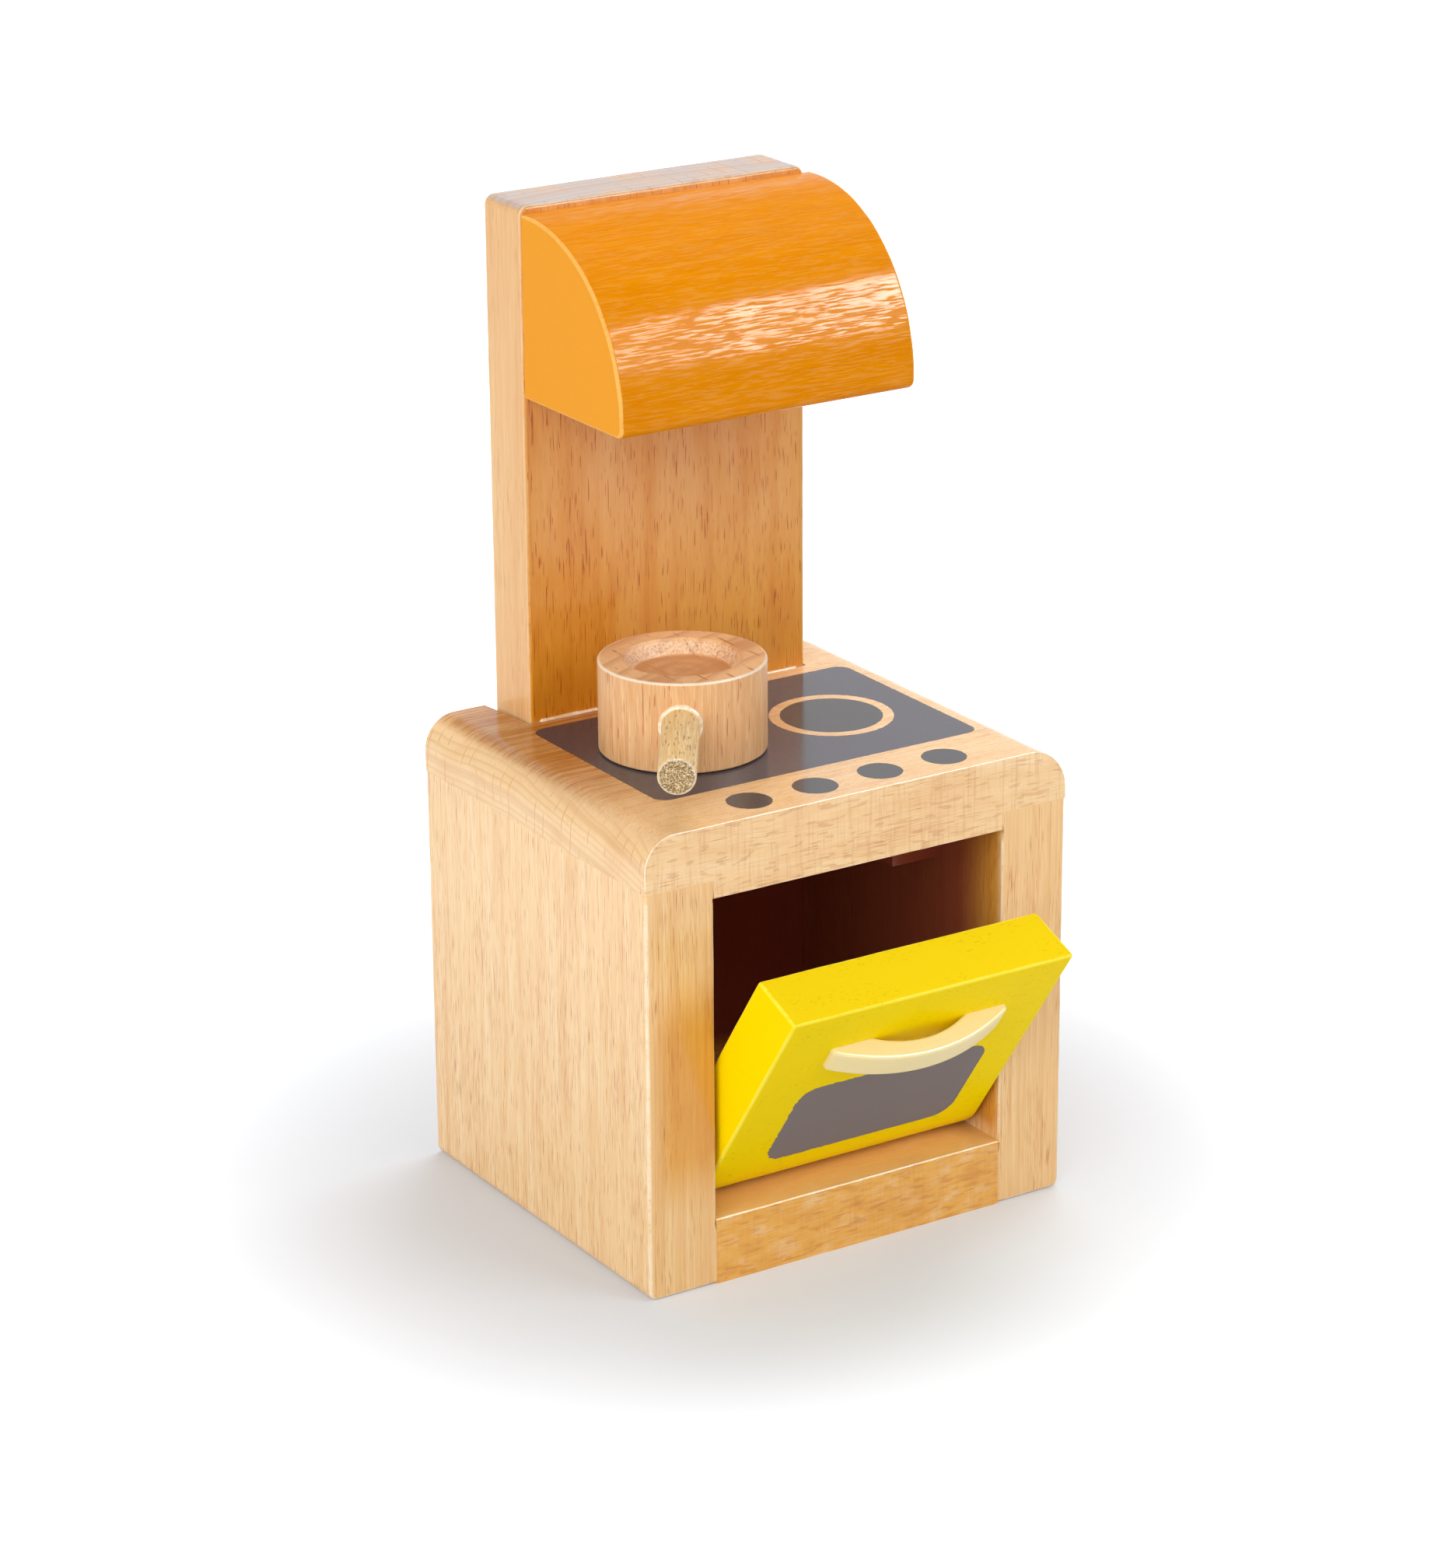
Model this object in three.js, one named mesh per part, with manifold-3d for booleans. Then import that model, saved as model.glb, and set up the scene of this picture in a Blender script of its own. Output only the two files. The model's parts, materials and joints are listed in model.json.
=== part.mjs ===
// Wooden dollhouse kitchen: an oven block with a hinged door, a hob, a loose saucepan
// and a back board that carries a quarter-round cooker hood.
// Millimetres, +X to the right, +Y to the back, +Z up. The origin is the middle of the underside.

import * as THREE from 'three';
import { mergeVertices } from 'three/addons/utils/BufferGeometryUtils.js';
import Module from 'manifold-3d';

const wasm = await Module();
wasm.setup();

// Cabinet
const CABINET_WIDTH = 65.5;
const CABINET_DEPTH = 56.6;
const WORKTOP_HEIGHT = 64;
const WORKTOP_THICKNESS = 10;
const SIDE_THICKNESS = 10.25;
const BOTTOM_THICKNESS = 9.3;
const REBATE_DEPTH = 2.5;
const WORKTOP_LEFT_RADIUS = 4.5;
const WORKTOP_RIGHT_RADIUS = 6;
const FOOT_RADIUS = 1.3;
const SANDED_EDGE = 0.8;
const OPENING_EDGE = 0.6;
const GLUE_LINE = 0.1;

// Back board and hood
const BACK_BOARD_SIDE_CLEARANCE = 0.5;
const BACK_BOARD_THICKNESS = 9.5;
const BACK_BOARD_HEIGHT = 134.5;
const BACK_BOARD_INSET = 0.6;
const BACK_BOARD_CORNER = 1.4;
const NOTCH_FRONT_GAP = 0.2;
const NOTCH_REAR_GAP = 1.4;
const HOOD_RADIUS = 24.6;
const HOOD_TOP_DROP = 1;
const HOOD_OVERHANG = 1.3;
const HOOD_LIP_RADIUS = 1.6;
const HOOD_EDGE = 0.6;

// Oven door, its pins and its stop
const DOOR_SIDE_CLEARANCE = 0.8;
const DOOR_TOP_CLEARANCE = 0.5;
const DOOR_BOTTOM_CLEARANCE = 0.5;
const DOOR_THICKNESS = 8.8;
const DOOR_RECESS = 4.75;
const DOOR_TOE_RADIUS = 7.2;
const DOOR_TOP_FALL = 2.2;
const DOOR_EDGE = 0.5;
const PIVOT_RISE = 3.2;
const PIVOT_FROM_REAR = 2.35;
const TOE_REST_GAP = 0.2;
const PIN_DIAMETER = 2;
const PIN_IN_DOOR = 5;
const PIN_IN_PANEL = 4;
const PIN_RUNNING_CLEARANCE = 0.08;
const PIN_SEAT_CLEARANCE = 0.04;
const PIN_END_GAP = 0.3;
const STOP_WIDTH = 8;
const STOP_DEPTH = 6.5;
const STOP_HEIGHT = 7.8;
const STOP_CLEARANCE = 0.25;

// Bow handle on the door
const HANDLE_SPAN = 27.2;
const HANDLE_BULGE = 4.15;
const HANDLE_GRIP = 2.5;
const HANDLE_FOOT = 6.7;
const HANDLE_END = 0.7;
const HANDLE_WIDTH = 4;
const HANDLE_DROP = 10.2;
const HANDLE_SHIFT = 0.6;
const HANDLE_SEAT_GAP = 0.05;
const PEG_DIAMETER = 2.4;
const PEG_LENGTH = 3.5;
const PEG_INSET = 3.6;
const PEG_CLEARANCE = 0.05;
const PEG_END_GAP = 0.3;

// Saucepan, standing on the left burner
const BURNER_SPACING = 24.1;
const HOB_SHIFT = 1.3;
const HOB_SETBACK = 27;
const POT_SHIFT_X = 0.9;
const POT_SHIFT_Y = 0.4;
const POT_REST_GAP = 0.1;
const POT_RADIUS = 11.2;
const POT_HEIGHT = 12.4;
const POT_RECESS_RADIUS = 7.7;
const POT_RECESS_FLOOR_RADIUS = 6.3;
const POT_RECESS_DEPTH = 1.9;
const POT_EDGE = 0.35;
const POT_HANDLE_DIAMETER = 5;
const POT_HANDLE_REACH = 19.2;
const POT_HANDLE_SEAT = 3;
const POT_HANDLE_RISE = 6.6;
const POT_HANDLE_BEARING_DEG = -123.4;

// Glued dowels
const DOWEL_DIAMETER = 4;
const DOWEL_CLEARANCE = 0.05;
const DOWEL_END_GAP = 0.3;
const DOWEL_IN_WORKTOP = 5;
const DOWEL_IN_SIDE_TOP = 8;
const DOWEL_IN_SIDE_FACE = 6;
const DOWEL_IN_END_GRAIN = 8;
const DOWEL_IN_BACK_BOARD = 6;
const SIDE_DOWEL_INSET = 11.2;
const BOTTOM_DOWEL_INSET = 14.2;
const BACK_DOWEL_INSET = 9.8;
const HOOD_DOWEL_INSET = 9.8;
const HOOD_DOWEL_RISE = 9;

// Facets on round shapes
const CORNER_STEPS = 6;
const EDGE_STEPS = 2;
const ROUND_SIDES = 24;
const HOOD_STEPS = 32;
const POT_SIDES = 64;
const BOW_STEPS = 20;

// What follows from the sizes above
const FRONT = -CABINET_DEPTH / 2;
const BACK = CABINET_DEPTH / 2;
const OPENING_WIDTH = CABINET_WIDTH - 2 * SIDE_THICKNESS;
const OPENING_TOP = WORKTOP_HEIGHT - WORKTOP_THICKNESS;
const SIDE_HEIGHT = OPENING_TOP + REBATE_DEPTH;
const SIDE_MIDDLE_X = (CABINET_WIDTH - SIDE_THICKNESS) / 2;
const BACK_BOARD_WIDTH = OPENING_WIDTH - 2 * BACK_BOARD_SIDE_CLEARANCE;
const BACK_BOARD_REAR = BACK - BACK_BOARD_INSET;
const BACK_BOARD_FRONT = BACK_BOARD_REAR - BACK_BOARD_THICKNESS;
const HOOD_TOP = BACK_BOARD_HEIGHT - HOOD_TOP_DROP;
const HOOD_BOTTOM = HOOD_TOP - HOOD_RADIUS;
const DOOR_WIDTH = OPENING_WIDTH - 2 * DOOR_SIDE_CLEARANCE;
const DOOR_HEIGHT = OPENING_TOP - BOTTOM_THICKNESS - DOOR_TOP_CLEARANCE - DOOR_BOTTOM_CLEARANCE;
const HANDLE_RISE = DOOR_HEIGHT - HANDLE_DROP;
const TOE_RADIUS = Math.min(DOOR_TOE_RADIUS, DOOR_THICKNESS - 2 * DOOR_EDGE);
const PIVOT_DEPTH = DOOR_THICKNESS - PIVOT_FROM_REAR;
const PIVOT_Y = FRONT + DOOR_RECESS + PIVOT_DEPTH;
const PIVOT_Z = BOTTOM_THICKNESS + DOOR_BOTTOM_CLEARANCE + PIVOT_RISE;
const STOP_FRONT = PIVOT_Y + PIVOT_FROM_REAR + STOP_CLEARANCE;
const DOOR_OPEN_ANGLE = openAngleOnToe();
const WORKTOP_BEARING_THICKNESS = WORKTOP_THICKNESS - REBATE_DEPTH;
const BOTTOM_DOWEL_Z = BOTTOM_THICKNESS / 2;
const BACK_DOWEL_Z = WORKTOP_HEIGHT - WORKTOP_THICKNESS / 2;

const BEECH = wood(0xe3b57c, 0.35);
const PALE_BEECH = wood(0xd9a878, 0.6);
const DOWEL_WOOD = wood(0xe2c48e, 0.7);
const ORANGE_PAINT = wood(0xf0940a, 0.3);
const YELLOW_PAINT = wood(0xf5dc00, 0.35);
const CREAM_PLASTIC = new THREE.MeshStandardMaterial({ color: 0xf5e1a5, roughness: 0.3, metalness: 0 });
const STEEL = new THREE.MeshStandardMaterial({ color: 0xb8bcc0, roughness: 0.3, metalness: 1 });

function wood(color, roughness) {
  return new THREE.MeshStandardMaterial({ color, roughness, metalness: 0, flatShading: true });
}

// The toe of the door rolls down onto the bottom board as the door opens. This is the angle
// at which only TOE_REST_GAP is left under it.
function openAngleOnToe() {
  const back = TOE_RADIUS - PIVOT_DEPTH;
  const up = TOE_RADIUS - PIVOT_RISE;
  const room = up - DOOR_BOTTOM_CLEARANCE + TOE_REST_GAP;
  return Math.atan2(back, up) + Math.acos(room / Math.hypot(back, up));
}

// Solids

function solidOf(geometry) {
  const bare = geometry.clone();
  bare.deleteAttribute('normal');
  bare.deleteAttribute('uv');
  const merged = mergeVertices(bare, 1e-4);
  return new wasm.Manifold(new wasm.Mesh({
    numProp: 3,
    vertProperties: new Float32Array(merged.attributes.position.array),
    triVerts: new Uint32Array(merged.index.array),
  }));
}

function geometryOf(solid) {
  const mesh = solid.getMesh();
  const geometry = new THREE.BufferGeometry();
  geometry.setAttribute('position', new THREE.BufferAttribute(mesh.vertProperties, 3));
  geometry.setIndex(new THREE.BufferAttribute(mesh.triVerts, 1));
  geometry.computeVertexNormals();
  return geometry;
}

function cutAll(solid, tools) {
  return tools.reduce((rest, tool) => rest.subtract(tool), solid);
}

// Geometry keeps its own origin, and the mesh carries the place.
function placed(name, solid, origin, material) {
  const geometry = geometryOf(solid);
  geometry.translate(-origin.x, -origin.y, -origin.z);
  const mesh = new THREE.Mesh(geometry, material);
  mesh.name = name;
  mesh.position.copy(origin);
  return mesh;
}

// Outlines. Corners are given in order, each as [u, v, radius].
function outline(corners) {
  const shape = new THREE.Shape();
  corners.forEach(([u, v, radius], index) => {
    const before = corners[(index + corners.length - 1) % corners.length];
    const after = corners[(index + 1) % corners.length];
    const corner = new THREE.Vector2(u, v);
    const start = stepTowards(corner, before, radius);
    const end = stepTowards(corner, after, radius);
    if (index === 0) {
      shape.moveTo(start.x, start.y);
    } else {
      shape.lineTo(start.x, start.y);
    }
    if (radius > 0) {
      roundCorner(shape, start, corner, end, radius);
    }
  });
  shape.closePath();
  return shape;
}

function stepTowards(corner, [u, v], distance) {
  const direction = new THREE.Vector2(u - corner.x, v - corner.y).normalize();
  return corner.clone().addScaledVector(direction, distance);
}

function roundCorner(shape, start, corner, end, radius) {
  const centre = start.clone().add(end).sub(corner);
  for (let step = 1; step <= CORNER_STEPS; step += 1) {
    const turn = (step / CORNER_STEPS) * Math.PI / 2;
    const fromStart = start.clone().sub(centre).multiplyScalar(Math.cos(turn));
    const fromEnd = end.clone().sub(centre).multiplyScalar(Math.sin(turn));
    const point = centre.clone().add(fromStart).add(fromEnd);
    shape.lineTo(point.x, point.y);
  }
}

function rectangle(u0, v0, u1, v1) {
  return outline([[u0, v0, 0], [u1, v0, 0], [u1, v1, 0], [u0, v1, 0]]);
}

function extruded(shape, length, edge = 0) {
  return new THREE.ExtrudeGeometry(shape, {
    depth: length - 2 * edge,
    bevelEnabled: edge > 0,
    bevelThickness: edge,
    bevelSize: edge,
    bevelOffset: -edge,
    bevelSegments: EDGE_STEPS,
  }).translate(0, 0, edge);
}

// A (Y, Z) outline run along +X from x0, an (X, Z) outline run along +Y from y0,
// and an (X, Y) outline run along +Z from z0.
function alongX(shape, x0, x1, edge) {
  const turn = new THREE.Matrix4().makeBasis(
    new THREE.Vector3(0, 1, 0), new THREE.Vector3(0, 0, 1), new THREE.Vector3(1, 0, 0));
  return solidOf(extruded(shape, x1 - x0, edge).applyMatrix4(turn).translate(x0, 0, 0));
}

function alongY(shape, y0, y1, edge) {
  const turn = new THREE.Matrix4().makeRotationX(Math.PI / 2);
  return solidOf(extruded(shape, y1 - y0, edge).applyMatrix4(turn).translate(0, y1, 0));
}

function alongZ(shape, z0, z1, edge) {
  return solidOf(extruded(shape, z1 - z0, edge).translate(0, 0, z0));
}

function box(low, high) {
  return alongZ(rectangle(low[0], low[1], high[0], high[1]), low[2], high[2]);
}

// A round rod between two points.
function rod(from, to, diameter, sides = ROUND_SIDES) {
  const start = new THREE.Vector3(...from);
  const axis = new THREE.Vector3(...to).sub(start);
  const upright = new THREE.Vector3(0, 1, 0);
  const turn = new THREE.Quaternion().setFromUnitVectors(upright, axis.clone().normalize());
  const geometry = new THREE.CylinderGeometry(diameter / 2, diameter / 2, axis.length(), sides);
  geometry.translate(0, axis.length() / 2, 0).applyQuaternion(turn);
  return solidOf(geometry.translate(start.x, start.y, start.z));
}

// Glued dowels. Each runs from its deep end in one piece to its deep end in the other.

function dowelRuns() {
  const runs = [];
  for (const side of [-1, 1]) {
    const hand = side < 0 ? 'left' : 'right';
    const seatX = side * OPENING_WIDTH / 2;
    for (const [place, sign] of [['front', -1], ['rear', 1]]) {
      const topY = sign * (CABINET_DEPTH / 2 - SIDE_DOWEL_INSET);
      runs.push({
        name: `worktop_dowel_${hand}_${place}`,
        from: [side * SIDE_MIDDLE_X, topY, SIDE_HEIGHT - DOWEL_IN_SIDE_TOP],
        to: [side * SIDE_MIDDLE_X, topY, SIDE_HEIGHT + DOWEL_IN_WORKTOP],
      });
      const bottomY = sign * (CABINET_DEPTH / 2 - BOTTOM_DOWEL_INSET);
      runs.push({
        name: `bottom_dowel_${hand}_${place}`,
        from: [seatX - side * DOWEL_IN_END_GRAIN, bottomY, BOTTOM_DOWEL_Z],
        to: [seatX + side * DOWEL_IN_SIDE_FACE, bottomY, BOTTOM_DOWEL_Z],
      });
    }
    const backX = side * (BACK_BOARD_WIDTH / 2 - BACK_DOWEL_INSET);
    runs.push({
      name: `back_board_dowel_${hand}`,
      from: [backX, BACK_BOARD_FRONT - DOWEL_IN_END_GRAIN, BACK_DOWEL_Z],
      to: [backX, BACK_BOARD_FRONT + DOWEL_IN_BACK_BOARD, BACK_DOWEL_Z],
    });
    const hoodX = side * (BACK_BOARD_WIDTH / 2 - HOOD_DOWEL_INSET);
    const hoodZ = HOOD_BOTTOM + HOOD_DOWEL_RISE;
    runs.push({
      name: `hood_dowel_${hand}`,
      from: [hoodX, BACK_BOARD_FRONT - DOWEL_IN_END_GRAIN, hoodZ],
      to: [hoodX, BACK_BOARD_FRONT + DOWEL_IN_BACK_BOARD, hoodZ],
    });
  }
  return runs;
}

function towards(from, to, distance) {
  const start = new THREE.Vector3(...from);
  const axis = new THREE.Vector3(...to).sub(start).normalize();
  return start.addScaledVector(axis, distance).toArray();
}

function dowelHoles(prefix) {
  const diameter = DOWEL_DIAMETER + 2 * DOWEL_CLEARANCE;
  return dowelRuns().filter((run) => run.name.startsWith(prefix)).map(({ from, to }) => (
    rod(towards(from, to, -DOWEL_END_GAP), towards(to, from, -DOWEL_END_GAP), diameter)
  ));
}

function dowel({ name, from, to }) {
  const origin = new THREE.Vector3(...from).lerp(new THREE.Vector3(...to), 0.5);
  return placed(name, rod(from, to, DOWEL_DIAMETER), origin, DOWEL_WOOD);
}

// Cabinet pieces

// The glued-up block is sanded as one, which rounds its outer edges and the worktop's ends.
function sandedBlock() {
  const half = CABINET_WIDTH / 2;
  const shape = outline([
    [-half, 0, FOOT_RADIUS],
    [half, 0, FOOT_RADIUS],
    [half, WORKTOP_HEIGHT, WORKTOP_RIGHT_RADIUS],
    [-half, WORKTOP_HEIGHT, WORKTOP_LEFT_RADIUS],
  ]);
  return alongY(shape, FRONT, BACK, SANDED_EDGE);
}

function worktop() {
  const half = CABINET_WIDTH / 2;
  const profile = outline([
    [FRONT, OPENING_TOP, OPENING_EDGE],
    [BACK, OPENING_TOP, 0],
    [BACK, WORKTOP_HEIGHT, 0],
    [FRONT, WORKTOP_HEIGHT, 0],
  ]);
  const rebateX = OPENING_WIDTH / 2 - GLUE_LINE;
  const rebates = [-1, 1].map((side) => box(
    [Math.min(side * rebateX, side * half), FRONT, OPENING_TOP],
    [Math.max(side * rebateX, side * half), BACK, SIDE_HEIGHT + GLUE_LINE]));
  const notch = alongZ(notchOutline(), 0, WORKTOP_HEIGHT);
  const holes = [...dowelHoles('worktop_dowel'), ...dowelHoles('back_board_dowel')];
  const solid = cutAll(alongX(profile, -half, half).intersect(sandedBlock()), [...rebates, notch, ...holes]);
  return placed('worktop', solid, new THREE.Vector3(0, 0, OPENING_TOP), BEECH);
}

// The notch for the back board is sawn a little wider at the rear than at its inner end.
function notchOutline() {
  const front = BACK_BOARD_FRONT - GLUE_LINE;
  const frontX = BACK_BOARD_WIDTH / 2 + NOTCH_FRONT_GAP;
  const rearX = BACK_BOARD_WIDTH / 2 + NOTCH_REAR_GAP;
  return outline([[-frontX, front, 0], [frontX, front, 0], [rearX, BACK, 0], [-rearX, BACK, 0]]);
}

function sidePanel(side) {
  const inner = side * OPENING_WIDTH / 2;
  const outer = side * CABINET_WIDTH / 2;
  const corners = [[inner, FRONT, OPENING_EDGE], [outer, FRONT, 0], [outer, BACK, 0], [inner, BACK, 0]];
  const profile = outline(side > 0 ? corners : corners.reverse());
  const hand = side < 0 ? 'left' : 'right';
  const holes = [
    ...dowelHoles(`worktop_dowel_${hand}`),
    ...dowelHoles(`bottom_dowel_${hand}`),
    pinHoleInPanel(side),
  ];
  const solid = cutAll(alongZ(profile, 0, SIDE_HEIGHT).intersect(sandedBlock()), holes);
  const origin = new THREE.Vector3(side * SIDE_MIDDLE_X, 0, 0);
  return placed(`side_panel_${hand}`, solid, origin, BEECH);
}

function bottomBoard() {
  const rear = BACK_BOARD_FRONT - GLUE_LINE;
  const profile = outline([
    [FRONT, 0, 0],
    [rear, 0, 0],
    [rear, BOTTOM_THICKNESS, 0],
    [FRONT, BOTTOM_THICKNESS, OPENING_EDGE],
  ]);
  const half = OPENING_WIDTH / 2 - GLUE_LINE;
  const solid = cutAll(alongX(profile, -half, half).intersect(sandedBlock()), dowelHoles('bottom_dowel'));
  return placed('bottom_board', solid, new THREE.Vector3(0, 0, 0), BEECH);
}

function backBoard() {
  const half = BACK_BOARD_WIDTH / 2;
  const shape = outline([
    [-half, 0, BACK_BOARD_CORNER],
    [half, 0, BACK_BOARD_CORNER],
    [half, BACK_BOARD_HEIGHT, BACK_BOARD_CORNER],
    [-half, BACK_BOARD_HEIGHT, BACK_BOARD_CORNER],
  ]);
  const blank = alongY(shape, BACK_BOARD_FRONT, BACK_BOARD_REAR, SANDED_EDGE);
  const solid = cutAll(blank, [...dowelHoles('back_board_dowel'), ...dowelHoles('hood_dowel')]);
  return placed('back_board', solid, new THREE.Vector3(0, BACK_BOARD_REAR, 0), BEECH);
}

// A quarter round whose flat back is glued to the board, flush with the board's left side and a
// little longer than the board on the right. Its lower front edge is eased.
function rangeHood() {
  const rear = BACK_BOARD_FRONT - GLUE_LINE;
  const lipAngle = Math.asin(HOOD_LIP_RADIUS / (HOOD_RADIUS - HOOD_LIP_RADIUS));
  const lipCentreY = rear - (HOOD_RADIUS - HOOD_LIP_RADIUS) * Math.cos(lipAngle);
  const shape = new THREE.Shape();
  shape.moveTo(rear, HOOD_BOTTOM);
  shape.lineTo(rear, HOOD_TOP);
  for (let step = 1; step <= HOOD_STEPS; step += 1) {
    const angle = Math.PI / 2 + (Math.PI / 2 - lipAngle) * (step / HOOD_STEPS);
    shape.lineTo(rear + HOOD_RADIUS * Math.cos(angle), HOOD_BOTTOM + HOOD_RADIUS * Math.sin(angle));
  }
  for (let step = 1; step <= CORNER_STEPS; step += 1) {
    const angle = Math.PI - lipAngle + (Math.PI / 2 + lipAngle) * (step / CORNER_STEPS);
    shape.lineTo(
      lipCentreY + HOOD_LIP_RADIUS * Math.cos(angle),
      HOOD_BOTTOM + HOOD_LIP_RADIUS + HOOD_LIP_RADIUS * Math.sin(angle));
  }
  shape.closePath();
  const half = BACK_BOARD_WIDTH / 2;
  const blank = alongX(shape, -half, half + HOOD_OVERHANG, HOOD_EDGE);
  const solid = cutAll(blank, dowelHoles('hood_dowel'));
  return placed('range_hood', solid, new THREE.Vector3(0, BACK_BOARD_FRONT, HOOD_BOTTOM), ORANGE_PAINT);
}

function doorStop() {
  const right = OPENING_WIDTH / 2 - GLUE_LINE;
  const top = OPENING_TOP - GLUE_LINE;
  const shape = rectangle(right - STOP_WIDTH, STOP_FRONT, right, STOP_FRONT + STOP_DEPTH);
  const solid = alongZ(shape, top - STOP_HEIGHT, top, OPENING_EDGE / 2);
  return placed('door_stop', solid, new THREE.Vector3(right, STOP_FRONT, top), BEECH);
}

// Oven door. Its pieces are drawn shut, about the pivot line, and the group swings them open.

function pinRun(side) {
  const inDoor = side * (DOOR_WIDTH / 2 - PIN_IN_DOOR);
  const inPanel = side * (OPENING_WIDTH / 2 + PIN_IN_PANEL);
  return { inDoor, inPanel };
}

function pinHoleInPanel(side) {
  const { inPanel } = pinRun(side);
  const mouth = side * (OPENING_WIDTH / 2 - PIN_END_GAP);
  return rod(
    [mouth, PIVOT_Y, PIVOT_Z],
    [inPanel + side * PIN_END_GAP, PIVOT_Y, PIVOT_Z],
    PIN_DIAMETER + 2 * PIN_RUNNING_CLEARANCE);
}

function pinHoleInDoor(side) {
  const { inDoor, inPanel } = pinRun(side);
  const diameter = PIN_DIAMETER + 2 * PIN_SEAT_CLEARANCE;
  return rod([inDoor - side * PIN_END_GAP, 0, 0], [inPanel, 0, 0], diameter);
}

function doorPin(side) {
  const { inDoor, inPanel } = pinRun(side);
  const origin = new THREE.Vector3((inDoor + inPanel) / 2, 0, 0);
  const solid = rod([inDoor, 0, 0], [inPanel, 0, 0], PIN_DIAMETER);
  return placed(side < 0 ? 'door_pin_left' : 'door_pin_right', solid, origin, STEEL);
}

function pegPlaces() {
  const reach = HANDLE_SPAN / 2 - PEG_INSET;
  return [-1, 1].map((side) => [HANDLE_SHIFT + side * reach, HANDLE_RISE - PIVOT_RISE]);
}

function ovenDoor() {
  const front = -PIVOT_DEPTH;
  const rear = PIVOT_FROM_REAR;
  const foot = -PIVOT_RISE;
  const head = DOOR_HEIGHT - PIVOT_RISE;
  const profile = outline([
    [front, foot, TOE_RADIUS],
    [rear, foot, 0],
    [rear, head - DOOR_TOP_FALL, 0],
    [front, head, 0],
  ]);
  const half = DOOR_WIDTH / 2;
  const pegHoles = pegPlaces().map(([x, z]) => rod(
    [x, front - DOOR_EDGE, z],
    [x, front + PEG_LENGTH + PEG_END_GAP, z],
    PEG_DIAMETER + 2 * PEG_CLEARANCE));
  const holes = [pinHoleInDoor(-1), pinHoleInDoor(1), ...pegHoles];
  const solid = cutAll(alongX(profile, -half, half, DOOR_EDGE), holes);
  return placed('oven_door', solid, new THREE.Vector3(0, 0, 0), YELLOW_PAINT);
}

// An arc from one end of a chord to the other, bulging towards -Y.
function bowPoints(halfChord, chordY, bulge) {
  const radius = (halfChord ** 2 + bulge ** 2) / (2 * bulge);
  const halfAngle = Math.asin(halfChord / radius);
  const points = [];
  for (let step = 0; step <= BOW_STEPS; step += 1) {
    const angle = halfAngle * (2 * step / BOW_STEPS - 1);
    points.push([radius * Math.sin(angle), chordY - bulge + radius * (1 - Math.cos(angle))]);
  }
  return points;
}

function doorHandle() {
  const seat = -PIVOT_DEPTH - HANDLE_SEAT_GAP;
  const halfSpan = HANDLE_SPAN / 2;
  const halfGap = halfSpan - HANDLE_FOOT;
  const outer = bowPoints(halfSpan, seat - HANDLE_END, HANDLE_BULGE - HANDLE_END);
  const inner = bowPoints(halfGap, seat, HANDLE_BULGE - HANDLE_GRIP).reverse();
  const shape = new THREE.Shape();
  shape.moveTo(HANDLE_SHIFT - halfSpan, seat);
  for (const [x, y] of [...outer, [halfSpan, seat], ...inner]) {
    shape.lineTo(HANDLE_SHIFT + x, y);
  }
  shape.closePath();
  const middle = HANDLE_RISE - PIVOT_RISE;
  const bow = alongZ(shape, middle - HANDLE_WIDTH / 2, middle + HANDLE_WIDTH / 2);
  const pegs = pegPlaces().map(([x, z]) => rod(
    [x, seat - HANDLE_END, z], [x, seat + PEG_LENGTH, z], PEG_DIAMETER));
  const solid = pegs.reduce((whole, peg) => whole.add(peg), bow);
  return placed('door_handle', solid, new THREE.Vector3(HANDLE_SHIFT, seat, middle), CREAM_PLASTIC);
}

function doorAssembly() {
  const door = new THREE.Group();
  door.position.set(0, PIVOT_Y, PIVOT_Z);
  door.rotation.x = DOOR_OPEN_ANGLE;
  door.add(ovenDoor(), doorHandle(), doorPin(-1), doorPin(1));
  return door;
}

// Saucepan, drawn about its own axis with the handle along +X.

function potHandleRun() {
  return {
    from: [POT_RADIUS - POT_HANDLE_SEAT, 0, POT_HANDLE_RISE],
    to: [POT_RADIUS + POT_HANDLE_REACH, 0, POT_HANDLE_RISE],
  };
}

function potBody() {
  const profile = [
    [0, 0],
    [POT_RADIUS - POT_EDGE, 0],
    [POT_RADIUS, POT_EDGE],
    [POT_RADIUS, POT_HEIGHT - POT_EDGE],
    [POT_RADIUS - POT_EDGE, POT_HEIGHT],
    [POT_RECESS_RADIUS, POT_HEIGHT],
    [POT_RECESS_FLOOR_RADIUS, POT_HEIGHT - POT_RECESS_DEPTH],
    [0, POT_HEIGHT - POT_RECESS_DEPTH],
  ].map(([radius, height]) => new THREE.Vector2(radius, height));
  const turned = new THREE.LatheGeometry(profile, POT_SIDES).rotateX(Math.PI / 2);
  const { from, to } = potHandleRun();
  const diameter = POT_HANDLE_DIAMETER + 2 * DOWEL_CLEARANCE;
  const hole = rod(towards(from, to, -DOWEL_END_GAP), to, diameter);
  return placed('pot_body', solidOf(turned).subtract(hole), new THREE.Vector3(0, 0, 0), PALE_BEECH);
}

function potHandle() {
  const { from, to } = potHandleRun();
  const solid = rod(from, to, POT_HANDLE_DIAMETER);
  return placed('pot_handle', solid, new THREE.Vector3(...from), DOWEL_WOOD);
}

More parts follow.
